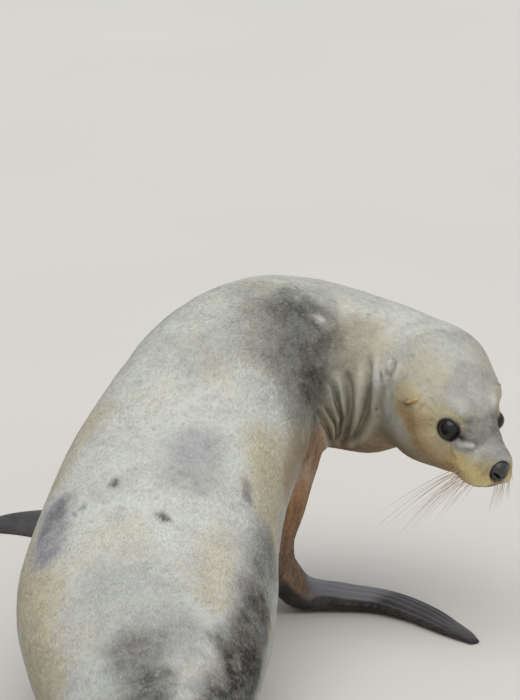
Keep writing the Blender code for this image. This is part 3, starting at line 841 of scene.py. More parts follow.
# Each blotch is a rounded bar between two places: kind, start, end, radius, strength
BLOTCHES = (
    # the dark patch over the shoulders
    ("dark", (0.300, -0.214, 0.500), (0.374, -0.212, 0.556), 0.108, 0.60),
    ("dark", (0.330, -0.222, 0.512), (0.380, -0.222, 0.560), 0.066, 0.55),
    ("dark", (0.378, -0.180, 0.594), (0.392, -0.205, 0.580), 0.058, 0.34),
    ("dark", (0.375, -0.150, 0.605), (0.381, -0.105, 0.616), 0.062, 0.32),
    ("dark", (0.322, -0.236, 0.470), (0.345, -0.245, 0.425), 0.048, 0.42),
    ("dark", (0.265, -0.140, 0.580), (0.180, -0.095, 0.553), 0.072, 0.24),
    ("olive", (0.320, -0.150, 0.585), (0.240, -0.170, 0.545), 0.066, 0.42),
    # brownish grey among the neck's folds and under the throat: partly the coat's colour, partly
    # painted shade of the neck's bend and the throat's underside
    ("olive", (0.350, -0.243, 0.440), (0.403, -0.290, 0.420), 0.085, 0.62),
    ("olive", (0.390, -0.248, 0.380), (0.450, -0.256, 0.334), 0.065, 0.85),
    ("olive", (0.360, -0.234, 0.380), (0.420, -0.230, 0.335), 0.055, 0.85),
    ("olive", (0.265, -0.236, 0.450), (0.245, -0.242, 0.400), 0.070, 0.42),
    ("olive", (0.421, -0.265, 0.520), (0.435, -0.288, 0.529), 0.055, 0.40),
    ("olive", (0.458, -0.320, 0.338), (0.423, -0.370, 0.335), 0.065, 0.65),
    ("tan", (0.220, -0.242, 0.375), (0.150, -0.252, 0.345), 0.050, 0.38),
    ("tan", (0.381, -0.232, 0.340), (0.290, -0.238, 0.350), 0.050, 0.55),
    # tan over the arms and where they leave the chest
    ("tan", (0.399, -0.149, 0.285), (0.391, -0.149, 0.215), 0.120, 0.88),
    ("tan", (0.391, -0.149, 0.215), (0.429, -0.145, 0.075), 0.110, 0.92),
    ("tan", (0.385, 0.010, 0.275), (0.417, 0.039, 0.215), 0.120, 0.88),
    ("tan", (0.417, 0.039, 0.215), (0.521, 0.123, 0.075), 0.110, 0.92),
    # yellower along both sides of the trunk
    ("sand", (-0.373, 0.015, 0.262), (-0.519, -0.079, 0.168), 0.090, 0.85),
    ("sand", (-0.190, 0.105, 0.290), (-0.330, 0.055, 0.255), 0.060, 0.70),
    ("sand", (0.060, -0.255, 0.374), (-0.030, -0.285, 0.320), 0.060, 0.80),
    ("sand", (0.150, -0.252, 0.365), (0.085, -0.240, 0.410), 0.070, 0.75),
    ("sand", (-0.206, -0.255, 0.344), (-0.347, -0.305, 0.292), 0.040, 0.34),
    ("sand", (0.060, 0.075, 0.440), (-0.060, 0.110, 0.365), 0.065, 0.60),
    ("sand", (0.435, -0.288, 0.529), (0.458, -0.320, 0.450), 0.080, 0.45),
    # the right flank, low: the coat's darker grey-brown, with painted shade along the flank
    ("dark", (-0.080, -0.305, 0.295), (-0.264, -0.352, 0.252), 0.050, 0.55),
    ("dark", (-0.264, -0.350, 0.250), (-0.400, -0.380, 0.205), 0.062, 0.85),
    ("dark", (-0.400, -0.380, 0.200), (-0.570, -0.400, 0.145), 0.085, 0.95),
    ("dark", (-0.520, -0.400, 0.130), (-0.640, -0.380, 0.130), 0.080, 0.60),
    ("violet", (-0.060, -0.285, 0.320), (-0.264, -0.335, 0.280), 0.045, 0.55),
    # where the hind legs leave the hips
    ("olive", (-0.600, -0.370, 0.090), (-0.635, -0.416, 0.056), 0.110, 0.55),
    ("olive", (-0.655, -0.235, 0.090), (-0.709, -0.213, 0.056), 0.110, 0.55),
    ("olive", (-0.640, -0.380, 0.080), (-0.700, -0.225, 0.080), 0.110, 0.45),
    ("olive", (-0.700, -0.322, 0.080), (-0.820, -0.350, 0.046), 0.080, 0.70),
    # mottling over the hips
    ("dark", (-0.574, -0.283, 0.229), (-0.640, -0.310, 0.195), 0.050, 0.55),
    ("violet", (-0.472, -0.290, 0.264), (-0.523, -0.247, 0.258), 0.075, 0.50),
    ("dark", (-0.400, -0.190, 0.310), (-0.600, -0.260, 0.235), 0.120, 0.24),
    ("dark", (-0.523, -0.247, 0.258), (-0.620, -0.275, 0.225), 0.058, 0.50),
    # spots and nicks
    ("dark", (-0.141, -0.049, 0.404), (-0.146, -0.047, 0.402), 0.0085, 1.0),
    ("dark", (-0.203, -0.158, 0.378), (-0.210, -0.166, 0.373), 0.0110, 0.85),
    ("dark", (-0.195, -0.016, 0.376), (-0.213, -0.004, 0.366), 0.0060, 0.65),
    ("dark", (-0.020, -0.240, 0.386), (-0.050, -0.252, 0.368), 0.0120, 0.55),
    ("dark", (0.406, -0.295, 0.431), (0.406, -0.296, 0.429), 0.0060, 1.0),
    # lilac-grey skin showing through
    ("violet", (-0.020, -0.150, 0.440), (-0.085, -0.165, 0.415), 0.066, 0.62),
    ("violet", (-0.165, 0.047, 0.356), (-0.290, 0.014, 0.318), 0.046, 0.95),
    ("dark", (-0.165, 0.042, 0.358), (-0.215, 0.036, 0.340), 0.026, 0.35),
    ("violet", (0.300, -0.190, 0.560), (0.370, -0.200, 0.560), 0.060, 0.35),
    # a worn pale speck on the shoulder
    ("pale", (0.405, -0.222, 0.571), (0.409, -0.226, 0.567), 0.011, 0.62),
    ("pale", (0.395, -0.215, 0.578), (0.412, -0.232, 0.560), 0.022, 0.25),
    # the same kind of markings on the left side
    ("dark", (-0.300, 0.160, 0.180), (-0.500, 0.130, 0.120), 0.090, 0.50),
    ("dark", (0.360, 0.060, 0.540), (0.460, -0.020, 0.500), 0.090, 0.30),
    ("violet", (0.120, 0.110, 0.400), (0.060, 0.120, 0.360), 0.060, 0.50),
)
# Markings of the head in its own frame, on both sides
HEAD_BLOTCHES = (
    ("warm", (0.012, 0.022, 0.095), (0.050, 0.010, 0.078), 0.032, 0.95),
    ("warm", (0.050, 0.004, 0.078), (0.070, -0.030, 0.070), 0.026, 0.60),
    ("pale", (0.020, 0.030, 0.090), (0.056, 0.020, 0.074), 0.030, 0.22),
    ("warm", (0.018, 0.000, 0.096), (0.052, -0.046, 0.078), 0.034, 0.70),
    ("rust", (0.014, 0.004, 0.097), (0.034, -0.020, 0.090), 0.021, 0.70),
    ("rust", (0.040, -0.030, 0.084), (0.058, -0.050, 0.074), 0.024, 0.50),
    ("rust", (0.060, -0.060, 0.070), (0.105, -0.080, 0.050), 0.038, 0.62),
    ("warm", (0.060, 0.020, 0.062), (0.090, 0.016, 0.042), 0.018, 0.70),
    ("warm", (0.108, -0.056, 0.050), (0.172, -0.052, 0.028), 0.042, 1.0),
    ("rust", (0.120, -0.078, 0.036), (0.168, -0.074, 0.022), 0.016, 0.45),
    # darker grey-green down the bridge of the muzzle, between the eyes and the nose: painted shade
    ("dark", (0.106, 0.012, 0.006), (0.150, -0.006, 0.008), 0.044, 0.52),
    ("dark", (0.098, 0.012, 0.030), (0.118, 0.004, 0.026), 0.024, 0.42),
    ("olive", (-0.010, 0.070, 0.010), (0.075, 0.045, 0.010), 0.100, 0.24),
    # a dark spot under the ear: painted shade beneath the ear
    ("dark", (0.013, 0.0150, 0.0960), (0.008, 0.0115, 0.0980), 0.0060, 1.0),
    ("violet", (0.107, -0.016, 0.048), (0.130, -0.010, 0.034), 0.012, 0.85),
    ("pale", (0.110, -0.012, 0.045), (0.128, -0.007, 0.031), 0.006, 0.60),
    ("violet", (0.030, 0.074, 0.000), (0.044, 0.064, 0.028), 0.028, 0.50),
    ("sand", (0.020, 0.060, 0.060), (-0.020, 0.050, 0.080), 0.050, 0.40),
)


def bar_fall(points, start, end, radius, rough):
    """From 1 inside a rounded bar to 0 outside it, with a ragged edge."""
    start, end = np.array(start), np.array(end)
    along = end - start
    t = np.clip((points - start) @ along / max(along @ along, 1e-9), 0, 1)
    gap = np.linalg.norm(points - start - t[:, None] * along, axis=1) / radius
    return smoothstep(1.25, 0.35, gap + rough)


def raggedness(radius):
    """How ragged a blotch's edge is. Small spots and broad patches have the calmer edges."""
    if radius < SPOT_RADIUS:
        return 0.4
    return 0.85 if radius < PATCH_RADIUS else 0.45


def markings(points, facts):
    """How strong each marking is at each point: the blotches' kinds of colour, bare skin (on the
    right wrist also painted shadow) with a painted highlight on the fore flippers' tops, wet rims,
    the painted shade in the folds with painted highlight on their rolls, and the ruck where tufts
    are short."""
    kinds = ("dark", "violet", "olive", "sand", "rust", "tan", "warm", "pale")
    shape = {kind: np.zeros(len(points)) for kind in kinds}
    ragged = 0.32 * cloud_noise(points, 0.045, 21) + 0.16 * cloud_noise(points, 0.012, 22)
    for kind, start, end, radius, strength in BLOTCHES:
        fall = strength * bar_fall(points, start, end, radius, ragged * raggedness(radius))
        shape[kind] = 1 - (1 - shape[kind]) * (1 - fall)
    head = from_head(points)
    head[:, 2] = np.abs(head[:, 2])
    on = on_head(facts)
    for kind, start, end, radius, strength in HEAD_BLOTCHES:
        fall = np.where(on, strength * bar_fall(head, start, end, radius, 0.6 * ragged), 0)
        shape[kind] = 1 - (1 - shape[kind]) * (1 - fall)
    limb, station = facts[:, 6], facts[:, 0]
    low = -facts[:, 2]
    body = limb == BODY
    under = smoothstep(0.25, 0.85, low + 0.2 * ragged)
    shape["sand"] = np.maximum(shape["sand"], np.where(body, 0.9 * under, 0))
    shape["tan"] = np.maximum(shape["tan"], np.where(body, 0.55 * smoothstep(0.55, 1.0, low), 0))
    fore = (limb == FORE_R) | (limb == FORE_L)
    hind = ~body & ~fore
    rough = 0.03 * ragged
    arm = 0.92 * smoothstep(0.12, 0.24, station + rough)
    shape["tan"] = np.where(fore, np.maximum(arm, shape["tan"]), shape["tan"])
    shape["tan"] = np.where(hind, 0.30 * smoothstep(0.04, 0.14, station), shape["tan"])
    for kind in (kind for kind in kinds if kind != "tan"):
        fade = np.where(fore, smoothstep(0.22, 0.06, station), smoothstep(0.22, 0.08, station))
        shape[kind] = np.where(body, shape[kind], shape[kind] * fade)
    shape["olive"] = np.where(hind, np.maximum(shape["olive"], 0.55), shape["olive"])
    # the coat darkens down each forearm towards the wrist: painted shade of the forearm
    shape["dark"] = np.where(fore, 0.60 * smoothstep(0.13, 0.27, station), shape["dark"])
    # black leather: flippers, and the palm's side of the wrist; on the right wrist the black also
    # stands in for painted shadow under the flipper's heel
    palm_and_shadow = smoothstep(-0.62, -0.80, facts[:, 1] + 0.05 * ragged) * smoothstep(0.255, 0.315, station)
    palm_and_shadow = np.maximum(palm_and_shadow, smoothstep(-0.10, 0.25, facts[:, 2]) * smoothstep(0.26, 0.33, station))
    bare = np.where(limb == FORE_R, palm_and_shadow, smoothstep(0.330, 0.440, station + rough))
    bare = np.where(fore, np.maximum(bare, smoothstep(0.33, 0.40, station + rough)), 0)
    bare = np.where(hind, smoothstep(0.110, 0.200, station + rough), bare)
    shape["bare"] = bare
    # painted highlight: the fore flippers' tops a lighter grey, mostly on the right one
    top_highlight = smoothstep(0.34, 0.39, station) * smoothstep(0.565, 0.50, station + rough)
    top_highlight = np.where(limb == FORE_R, top_highlight * smoothstep(-0.90, -0.70, facts[:, 1]), 0.1 * top_highlight)
    shape["top_highlight"] = np.where(fore, top_highlight * smoothstep(-0.10, -0.40, facts[:, 2]), 0)
    wet = np.zeros(len(points))
    for side in (1, -1):
        q, reach, forth, up = eye_opening(points, side)
        over = reach - EYE_RADIUS
        rim = smoothstep(1.42, 1.06, q) * smoothstep(0.0075, 0.0025, over)
        tear = bump(up + 0.16, 0.27) * smoothstep(0.8, 1.0, forth) * smoothstep(0.026, 0.008, over)
        wet = np.maximum(wet, np.maximum(rim, tear))
    nose = np.linalg.norm((head - NOSE_PLACE) / (0.024, 0.0195, 0.0205), axis=1)
    shape["wet"] = np.where(on, np.maximum(wet, 0.85 * smoothstep(1.22, 0.92, nose)), 0)
    # painted shade in the neck's creases, painted highlight on their rolls, and how near the creases
    # are
    _, shape["fold_shade"], roll_highlight, shape["ruck"] = creases(points)
    # painted highlight on the rolls beside the creases, added to the pale marking
    shape["pale"] = np.maximum(shape["pale"], 0.34 * roll_highlight)
    lips = bump(head[:, 1] - mouth_line(head[:, 0]), 0.0022) * smoothstep(0.075, 0.095, head[:, 0])
    shape["wet"] = np.where(on, np.maximum(shape["wet"], 0.8 * lips * (head[:, 0] < 0.19)), 0)
    return shape


# ---------------------------------------------------------------- materials
def rgb(red, green, blue):
    """A screen colour of 0 to 255 as linear light."""
    c = np.array([red, green, blue]) / 255
    return (*np.where(c <= 0.04045, c / 12.92, ((c + 0.055) / 1.055) ** 2.4), 1.0)


class Finish:
    """A material under construction: short ways to add and join its nodes."""

    def __init__(self, name):
        self.material = bpy.data.materials.new(name)
        self.material.use_nodes = True
        self.tree = self.material.node_tree
        self.shader = self.tree.nodes["Principled BSDF"]
        self.where = self.tree.nodes.new("ShaderNodeTexCoord").outputs["Object"]

    def put(self, socket, value):
        """A value goes onto the socket, an output is linked to it."""
        if isinstance(value, bpy.types.NodeSocket):
            self.tree.links.new(value, socket)
        elif value is not None:
            socket.default_value = value

    def attribute(self, name):
        """A point attribute of the mesh."""
        node = self.tree.nodes.new("ShaderNodeAttribute")
        node.attribute_name = name
        return node.outputs["Fac"]

    def noise(self, scale, detail=3.0, roughness=0.55, vector=None, twist=0.0):
        """Noise over object coordinates."""
        node = self.tree.nodes.new("ShaderNodeTexNoise")
        self.put(node.inputs["Vector"], vector or self.where)
        for label, value in (("Scale", scale), ("Detail", detail), ("Roughness", roughness)):
            node.inputs[label].default_value = value
        node.inputs["Distortion"].default_value = twist
        return node.outputs["Fac"]

    def stretched(self, scale):
        """Object coordinates scaled by three factors."""
        node = self.tree.nodes.new("ShaderNodeMapping")
        self.put(node.inputs["Vector"], self.where)
        node.inputs["Scale"].default_value = scale
        return node.outputs["Vector"]

    def spread(self, value, low, high, to_low=0.0, to_high=1.0):
        """Maps low..high to to_low..to_high, and holds it there."""
        node = self.tree.nodes.new("ShaderNodeMapRange")
        for label, v in (("Value", value), ("From Min", low), ("From Max", high),
                         ("To Min", to_low), ("To Max", to_high)):
            self.put(node.inputs[label], v)
        return node.outputs["Result"]

    def sum(self, operation, first, second=None):
        """An arithmetic operation on two values or outputs."""
        node = self.tree.nodes.new("ShaderNodeMath")
        node.operation = operation
        self.put(node.inputs[0], first)
        self.put(node.inputs[1], second)
        return node.outputs["Value"]

    def mix(self, share, first, second, blend="MIX"):
        """The first colour turned towards the second by share."""
        node = self.tree.nodes.new("ShaderNodeMix")
        node.data_type = "RGBA"
        node.blend_type = blend
        self.put(node.inputs["Factor"], share)
        self.put(node.inputs[6], first)
        self.put(node.inputs[7], second)
        return node.outputs[2]

    def bumps(self, *layers):
        """Bump layers, each a height, its distance and strength, one after another."""
        normal = None
        for height, distance, strength in layers:
            node = self.tree.nodes.new("ShaderNodeBump")
            node.inputs["Strength"].default_value = strength
            node.inputs["Distance"].default_value = distance
            self.put(node.inputs["Height"], height)
            if normal is not None:
                self.put(node.inputs["Normal"], normal)
            normal = node.outputs["Normal"]
        self.put(self.shader.inputs["Normal"], normal)

    def finish(self, colour, roughness, **others):
        """Joins colour and roughness to the shader, and sets its other sockets."""
        self.put(self.shader.inputs["Base Color"], colour)
        self.put(self.shader.inputs["Roughness"], roughness)
        for label, value in others.items():
            self.put(self.shader.inputs[label.replace("_", " ")], value)
        return self.material


SILVER = rgb(200, 203, 197)
STRAW = rgb(197, 194, 178)
MAUVE = rgb(184, 184, 183)
FLECK = rgb(150, 148, 138)
DARK_AND_SHADE = rgb(48, 45, 42)
LILAC = rgb(138, 136, 143)
OLIVE = rgb(138, 131, 107)
SAND = rgb(188, 178, 148)
RUST = rgb(166, 130, 86)
TAN = rgb(166, 124, 82)
UMBER = rgb(110, 76, 52)
HONEY = rgb(212, 190, 130)
BONE = rgb(216, 213, 204)
CREASE_SHADE = rgb(62, 54, 38)
FLIPPER = rgb(31, 25, 24)
FLIPPER_GREY = rgb(72, 69, 70)
TOP_HIGHLIGHT_GREY = rgb(116, 116, 120)
WET = rgb(22, 21, 24)


def coat_colour(finish):
    """The colour that skin and tufts share, from the markings, with their painted shade and
    highlights, and from mottling in space.
    """
    broad = finish.spread(finish.noise(6.0, 3, 0.55), 0.42, 0.70)
    colour = finish.mix(broad, SILVER, STRAW)
    blush = finish.spread(finish.noise(13.0, 3, 0.6, twist=0.4), 0.48, 0.66, 0, 0.75)
    colour = finish.mix(blush, colour, MAUVE)
    colour = finish.mix(finish.spread(finish.attribute("warm"), 0, 1, 0, 0.90), colour, HONEY)
    # olive among the neck's folds and under the throat is partly painted shade
    for kind, tone in (("sand", SAND), ("olive", OLIVE), ("rust", RUST)):
        colour = finish.mix(finish.attribute(kind), colour, tone)
    tan = finish.attribute("tan")
    colour = finish.mix(tan, colour, TAN)
    streak = finish.noise(1.0, 4, 0.6, vector=finish.stretched((70, 70, 9)))
    streak = finish.spread(streak, 0.44, 0.66, 0, 0.75)
    colour = finish.mix(finish.sum("MULTIPLY", tan, streak), colour, UMBER)
    mottle = finish.noise(30.0, 4, 0.62, twist=0.3)
    violet = finish.attribute("violet")
    uneven = finish.spread(mottle, 0.30, 0.62, 0.62, 1)
    colour = finish.mix(finish.sum("MULTIPLY", violet, uneven), colour, LILAC)
    # the dark marks: the coat's own dark patches, and painted shade on the right flank, the forearms,
    # the bridge of the muzzle and under the ears
    dark = finish.attribute("dark")
    patchy = finish.spread(mottle, 0.32, 0.64, 0.70, 1.10)
    colour = finish.mix(finish.sum("MULTIPLY", dark, patchy), colour, DARK_AND_SHADE)
    flecks = finish.spread(finish.noise(80.0, 4, 0.66), 0.50, 0.74, 0, 0.30)
    colour = finish.mix(flecks, colour, FLECK, "MULTIPLY")
    shine = finish.spread(finish.noise(120.0, 3, 0.6), 0.56, 0.76, 0, 0.28)
    colour = finish.mix(shine, colour, BONE)
    # pale marks, and the painted highlight on the rolls beside the neck's creases
    colour = finish.mix(finish.attribute("pale"), colour, BONE)
    # painted shade in the neck's creases
    colour = finish.mix(finish.spread(finish.attribute("fold_shade"), 0, 1, 0, 0.92), colour, CREASE_SHADE)
    sheen = finish.spread(finish.noise(22.0, 4, 0.6), 0.42, 0.66, 0, 0.55)
    leather = finish.mix(sheen, FLIPPER, FLIPPER_GREY)
    # painted highlight on the fore flippers' tops
    leather = finish.mix(finish.attribute("top_highlight"), leather, TOP_HIGHLIGHT_GREY)
    # bare black leather; on the right wrist its black is also painted shadow under the flipper
    colour = finish.mix(finish.attribute("bare"), colour, leather)
    return finish.mix(finish.attribute("wet"), colour, WET)


def skin_finish():
    """Short fur lying flat, bare leathery flippers, and wet rims."""
    finish = Finish("sea_lion_skin")
    colour = coat_colour(finish)
    grain = finish.noise(700.0, 2, 0.6)
    pores = finish.noise(240.0, 4, 0.65)
    creases = finish.noise(60.0, 5, 0.6)
    finish.bumps((creases, 0.0022, 0.35), (pores, 0.0010, 0.5), (grain, 0.0004, 0.6))
    wet, bare = finish.attribute("wet"), finish.attribute("bare")
    rough = finish.sum("SUBTRACT", 0.66, finish.sum("MULTIPLY", bare, 0.22))
    rough = finish.sum("SUBTRACT", rough, finish.sum("MULTIPLY", wet, 0.30))
    return finish.finish(colour, rough, Specular_IOR_Level=0.35, Sheen_Weight=0.08)


def coat_finish():
    """Tufts of short dry hair. Each is a little lighter or darker than its neighbours."""
    finish = Finish("sea_lion_coat")
    colour = coat_colour(finish)
    shade = finish.attribute("shade")
    colour = finish.mix(finish.spread(shade, 0.5, 1.0, 0, 0.30), colour, BONE)
    colour = finish.mix(finish.spread(shade, 0.5, 0.0, 0, 0.28), colour, FLECK, "MULTIPLY")
    return finish.finish(colour, 0.62, Specular_IOR_Level=0.3)


def eye_finish():
    """A dark brown iris with fine rays round a black pupil, under a clear wet surface."""
    finish = Finish("sea_lion_eye")
    away = finish.attribute("from_axis")
    rays = finish.noise(420.0, 3, 0.6)
    iris = finish.mix(finish.spread(rays, 0.35, 0.65), rgb(12, 8, 7), rgb(28, 19, 14))
    colour = finish.mix(finish.spread(away, 17.0, 21.0), rgb(3, 3, 4), iris)
    colour = finish.mix(finish.spread(away, 33.0, 40.0), colour, rgb(16, 14, 15))
    colour = finish.mix(finish.spread(away, 55.0, 66.0), colour, rgb(30, 25, 26))
    return finish.finish(colour, 0.12, Specular_IOR_Level=0.20, Coat_Weight=0.40, Coat_Roughness=0.03)


def nose_finish():
    """Dark pebbled skin, damp, with painted shade in the nostrils."""
    finish = Finish("nose_skin")
    patches = finish.spread(finish.noise(90.0, 4, 0.6), 0.35, 0.7)
    colour = finish.mix(patches, rgb(34, 32, 34), rgb(62, 60, 62))
    # painted shade inside the nostril pits
    colour = finish.mix(finish.attribute("pit"), colour, rgb(8, 7, 7))
    pebbles = finish.tree.nodes.new("ShaderNodeTexVoronoi")
    finish.put(pebbles.inputs["Vector"], finish.where)
    pebbles.inputs["Scale"].default_value = 620.0
    finish.bumps((pebbles.outputs["Distance"], 0.0006, 0.5), (finish.noise(900.0), 0.0003, 0.4))
    return finish.finish(colour, 0.36, Specular_IOR_Level=0.5, Coat_Weight=0.25, Coat_Roughness=0.25)


def claw_finish():
    """Dark horn, mottled lighter by noise."""
    finish = Finish("claw_horn")
    streak = finish.spread(finish.noise(260.0, 3, 0.6), 0.35, 0.65)
    colour = finish.mix(streak, rgb(46, 38, 32), rgb(96, 82, 66))
    finish.bumps((finish.noise(500.0), 0.0003, 0.5))
    return finish.finish(colour, 0.32, Specular_IOR_Level=0.5)


def whisker_finish():
    """Pale horn-coloured whiskers, browner at the root."""
    finish = Finish("whisker_hair")
    colour = finish.mix(finish.attribute("along"), rgb(176, 148, 120), rgb(222, 206, 186))
    return finish.finish(colour, 0.40, Specular_IOR_Level=0.5)


def ear_finish():
    """Tan fur outside, with painted shade within the roll."""
    finish = Finish("ear_skin")
    patches = finish.spread(finish.noise(160.0, 4, 0.6), 0.3, 0.7)
    colour = finish.mix(patches, rgb(158, 124, 82), rgb(200, 170, 122))
    # painted shade inside the ear's roll
    colour = finish.mix(finish.attribute("inside"), colour, rgb(58, 42, 32))
    finish.bumps((finish.noise(800.0), 0.0004, 0.6))
    return finish.finish(colour, 0.6)


def floor_finish():
    """A plain pale floor with a faint tone."""
    finish = Finish("pale_floor")
    tone = finish.spread(finish.noise(0.7, 2), 0.3, 0.7)
    colour = finish.mix(tone, rgb(205, 203, 198), rgb(209, 207, 202))
    return finish.finish(colour, 0.9)


def piece(name, vertices, triangles, attributes, material, slot, nodes):
    """A finished piece: it rides on the body, replaces its nodes and has its material."""
    made = object_from(name, vertices, triangles, attributes)
    made.data.materials.append(material)
    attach(made, "root")
    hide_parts(*nodes)
    return made


# ---------------------------------------------------------------- skin
skin_points, skin_triangles, skin_facts = build_skin()
skin_normals = normals_of(skin_points, skin_triangles)
print("skin triangles", len(skin_triangles))
FLESH = ("tail", "hips", "belly", "ribs", "chest", "neck_base", "neck_top", "head", "muzzle",
         "foreleg_R", "foreleg_L", "fore_flipper_R", "fore_flipper_L",
         "hind_leg_R", "hind_leg_L", "hind_flipper_R", "hind_flipper_L")
skin_marks = markings(skin_points, skin_facts)
piece("skin", skin_points, skin_triangles, skin_marks, skin_finish(), "coat", FLESH)


# ---------------------------------------------------------------- eyes, nose and ears
def make_eye(side, letter, look):
    """An eyeball as a surface of revolution about the eye's axis: its radius is the ball's,
    and 1.1 mm more over the cornea."""
    centre, out, nasal, above = eye_frame(side)
    count = sides = 72
    away = np.linspace(0.004, np.pi - 0.004, count)
    turn = np.linspace(0, 2 * np.pi, sides, endpoint=False)
    radius = EYE_RADIUS - 0.0002 + 0.0011 * bump(away, 0.60)
    across = np.cos(turn)[:, None] * nasal + np.sin(turn)[:, None] * above
    ring = (radius * np.sin(away))[:, None, None] * across[None]
    rings = centre + (radius * np.cos(away))[:, None, None] * out + ring
    vertices, triangles = closed_loft(rings)
    degrees = np.degrees(np.repeat(away, sides))
    degrees = np.concatenate([degrees, [0, 180]])
    piece("eyeball_" + letter, vertices, triangles, {"from_axis": degrees}, look, "eye",
          ("eye_" + letter,))


EYE_LOOK = eye_finish()
make_eye(1, "R", EYE_LOOK)
make_eye(-1, "L", EYE_LOOK)


def make_nose():
    """The nose pad: a dome over a rounded shield, whose rim is sunk in the muzzle. Its height
    is that of an ellipse across it. Each nostril is a pit along a comma, from low near the
    middle to high at the side, and a groove runs down between them."""
    count, sides = 64, 144
    out = np.linspace(0.008, 1, count)
    turn = np.linspace(0, 2 * np.pi, sides, endpoint=False)
    narrow = 1 - 0.36 * np.clip(-np.sin(turn), 0, 1) ** 1.4
    side = NOSE_WIDE * narrow * np.sign(np.cos(turn)) * np.abs(np.cos(turn)) ** 0.86
    tall = np.where(np.sin(turn) > 0, NOSE_RISE, NOSE_DROP)
    high = tall * np.sign(np.sin(turn)) * np.abs(np.sin(turn)) ** 0.92
    rim = NOSE_RIM - 0.0050 * np.sin(turn) - 0.0035 * np.abs(np.cos(turn))
    dome = np.sqrt(1 - out**2)
    right = out[:, None] * side
    above = out[:, None] * high
    ahead = rim + (NOSE_TIP - rim) * dome[:, None]
    # nostrils: distance to a short arc, on both sides
    r, u = np.abs(right), above
    along = np.clip((r - 0.0055) / 0.0075, 0, 1)
    arc = -0.0075 + 0.0078 * along**0.7
    gap = np.hypot(r - np.clip(r, 0.0055, 0.0130), u - arc)
    pit = bump(gap, 0.0034 - 0.0008 * along)
    wing = bump(gap - 0.0045, 0.0022) * (u > arc - 0.002)
    ahead = ahead - 0.0090 * pit + 0.0010 * wing
    ahead -= 0.0018 * bump(right, 0.0013) * smoothstep(0.006, -0.004, above)
    rings = np.stack([ahead, above + NOSE_PLACE[1], right], -1)
    back = rings[-1:] - (0.012, 0, 0)
    back[..., 1:] = (back[..., 1:] - (NOSE_PLACE[1], 0)) * 0.6 + (NOSE_PLACE[1], 0)
    rings = in_head(np.concatenate([rings, back]))
    vertices, triangles = closed_loft(rings)
    # the pits' depth also sets their painted shade
    pits = np.concatenate([pit.ravel(), np.zeros(sides + 2)])
    piece("nose_pad", vertices, triangles, {"pit": np.clip(pits * 1.3, 0, 1)}, nose_finish(),
          "bare_skin", ("nose",))


make_nose()

# The ear's path in the head's frame, with its radius
EAR_PATH = (
    ((0.0235, 0.0315, 0.0800), 0.0030),
    ((0.0205, 0.0280, 0.0895), 0.0038),
    ((0.0155, 0.0225, 0.0955), 0.0037),
    ((0.0100, 0.0170, 0.0995), 0.0026),
    ((0.0055, 0.0130, 0.1015), 0.0009),
)
EAR_WALL = 0.34  # thickness of the roll's wall, of its radius
EAR_ARC = 30  # points on each arc of the profile


def make_ear(side, letter, look):
    """A rolled ear: a C-shaped profile, an outer and an inner arc, carried along a curved
    path and drawn in to a point. The slit of the roll faces down and outwards."""
    rows = np.array([(*place, radius) for place, radius in EAR_PATH])
    fine = smooth_through(rows, np.linspace(0, len(rows) - 1, 48))
    centre = fine[:, :3] * (1, 1, side)
    facing = unit(np.gradient(centre, axis=0))
    down = np.array([0.0, -1.0, 0.35 * side])
    down = unit(down - (facing @ down)[:, None] * facing)
    across = np.cross(facing, down)
    outer = np.linspace(math.radians(32), math.radians(328), EAR_ARC)
    turns = np.concatenate([outer, outer[::-1]])
    reach = np.repeat([1, 1 - EAR_WALL], EAR_ARC)
    inside = np.repeat([0.0, 1.0], EAR_ARC)
    profile = reach[:, None] * np.stack([np.cos(turns), np.sin(turns)], 1)
    size = fine[:, 3][:, None, None]
    rings = centre[:, None] + size * (
        profile[:, 0][None, :, None] * down[:, None] + profile[:, 1][None, :, None] * across[:, None]
    )
    vertices, triangles = closed_loft(in_head(rings))
    shade = np.concatenate([np.tile(inside, len(rings)), [0, 0]])
    piece("ear_roll_" + letter, vertices, triangles, {"inside": shade}, look, "coat",
          ("ear_" + letter,))


EAR_LOOK = ear_finish()
make_ear(1, "R", EAR_LOOK)
make_ear(-1, "L", EAR_LOOK)

# ---------------------------------------------------------------- whiskers and claws
WHISKER_ROWS = 4
WHISKERS_IN_ROW = 6


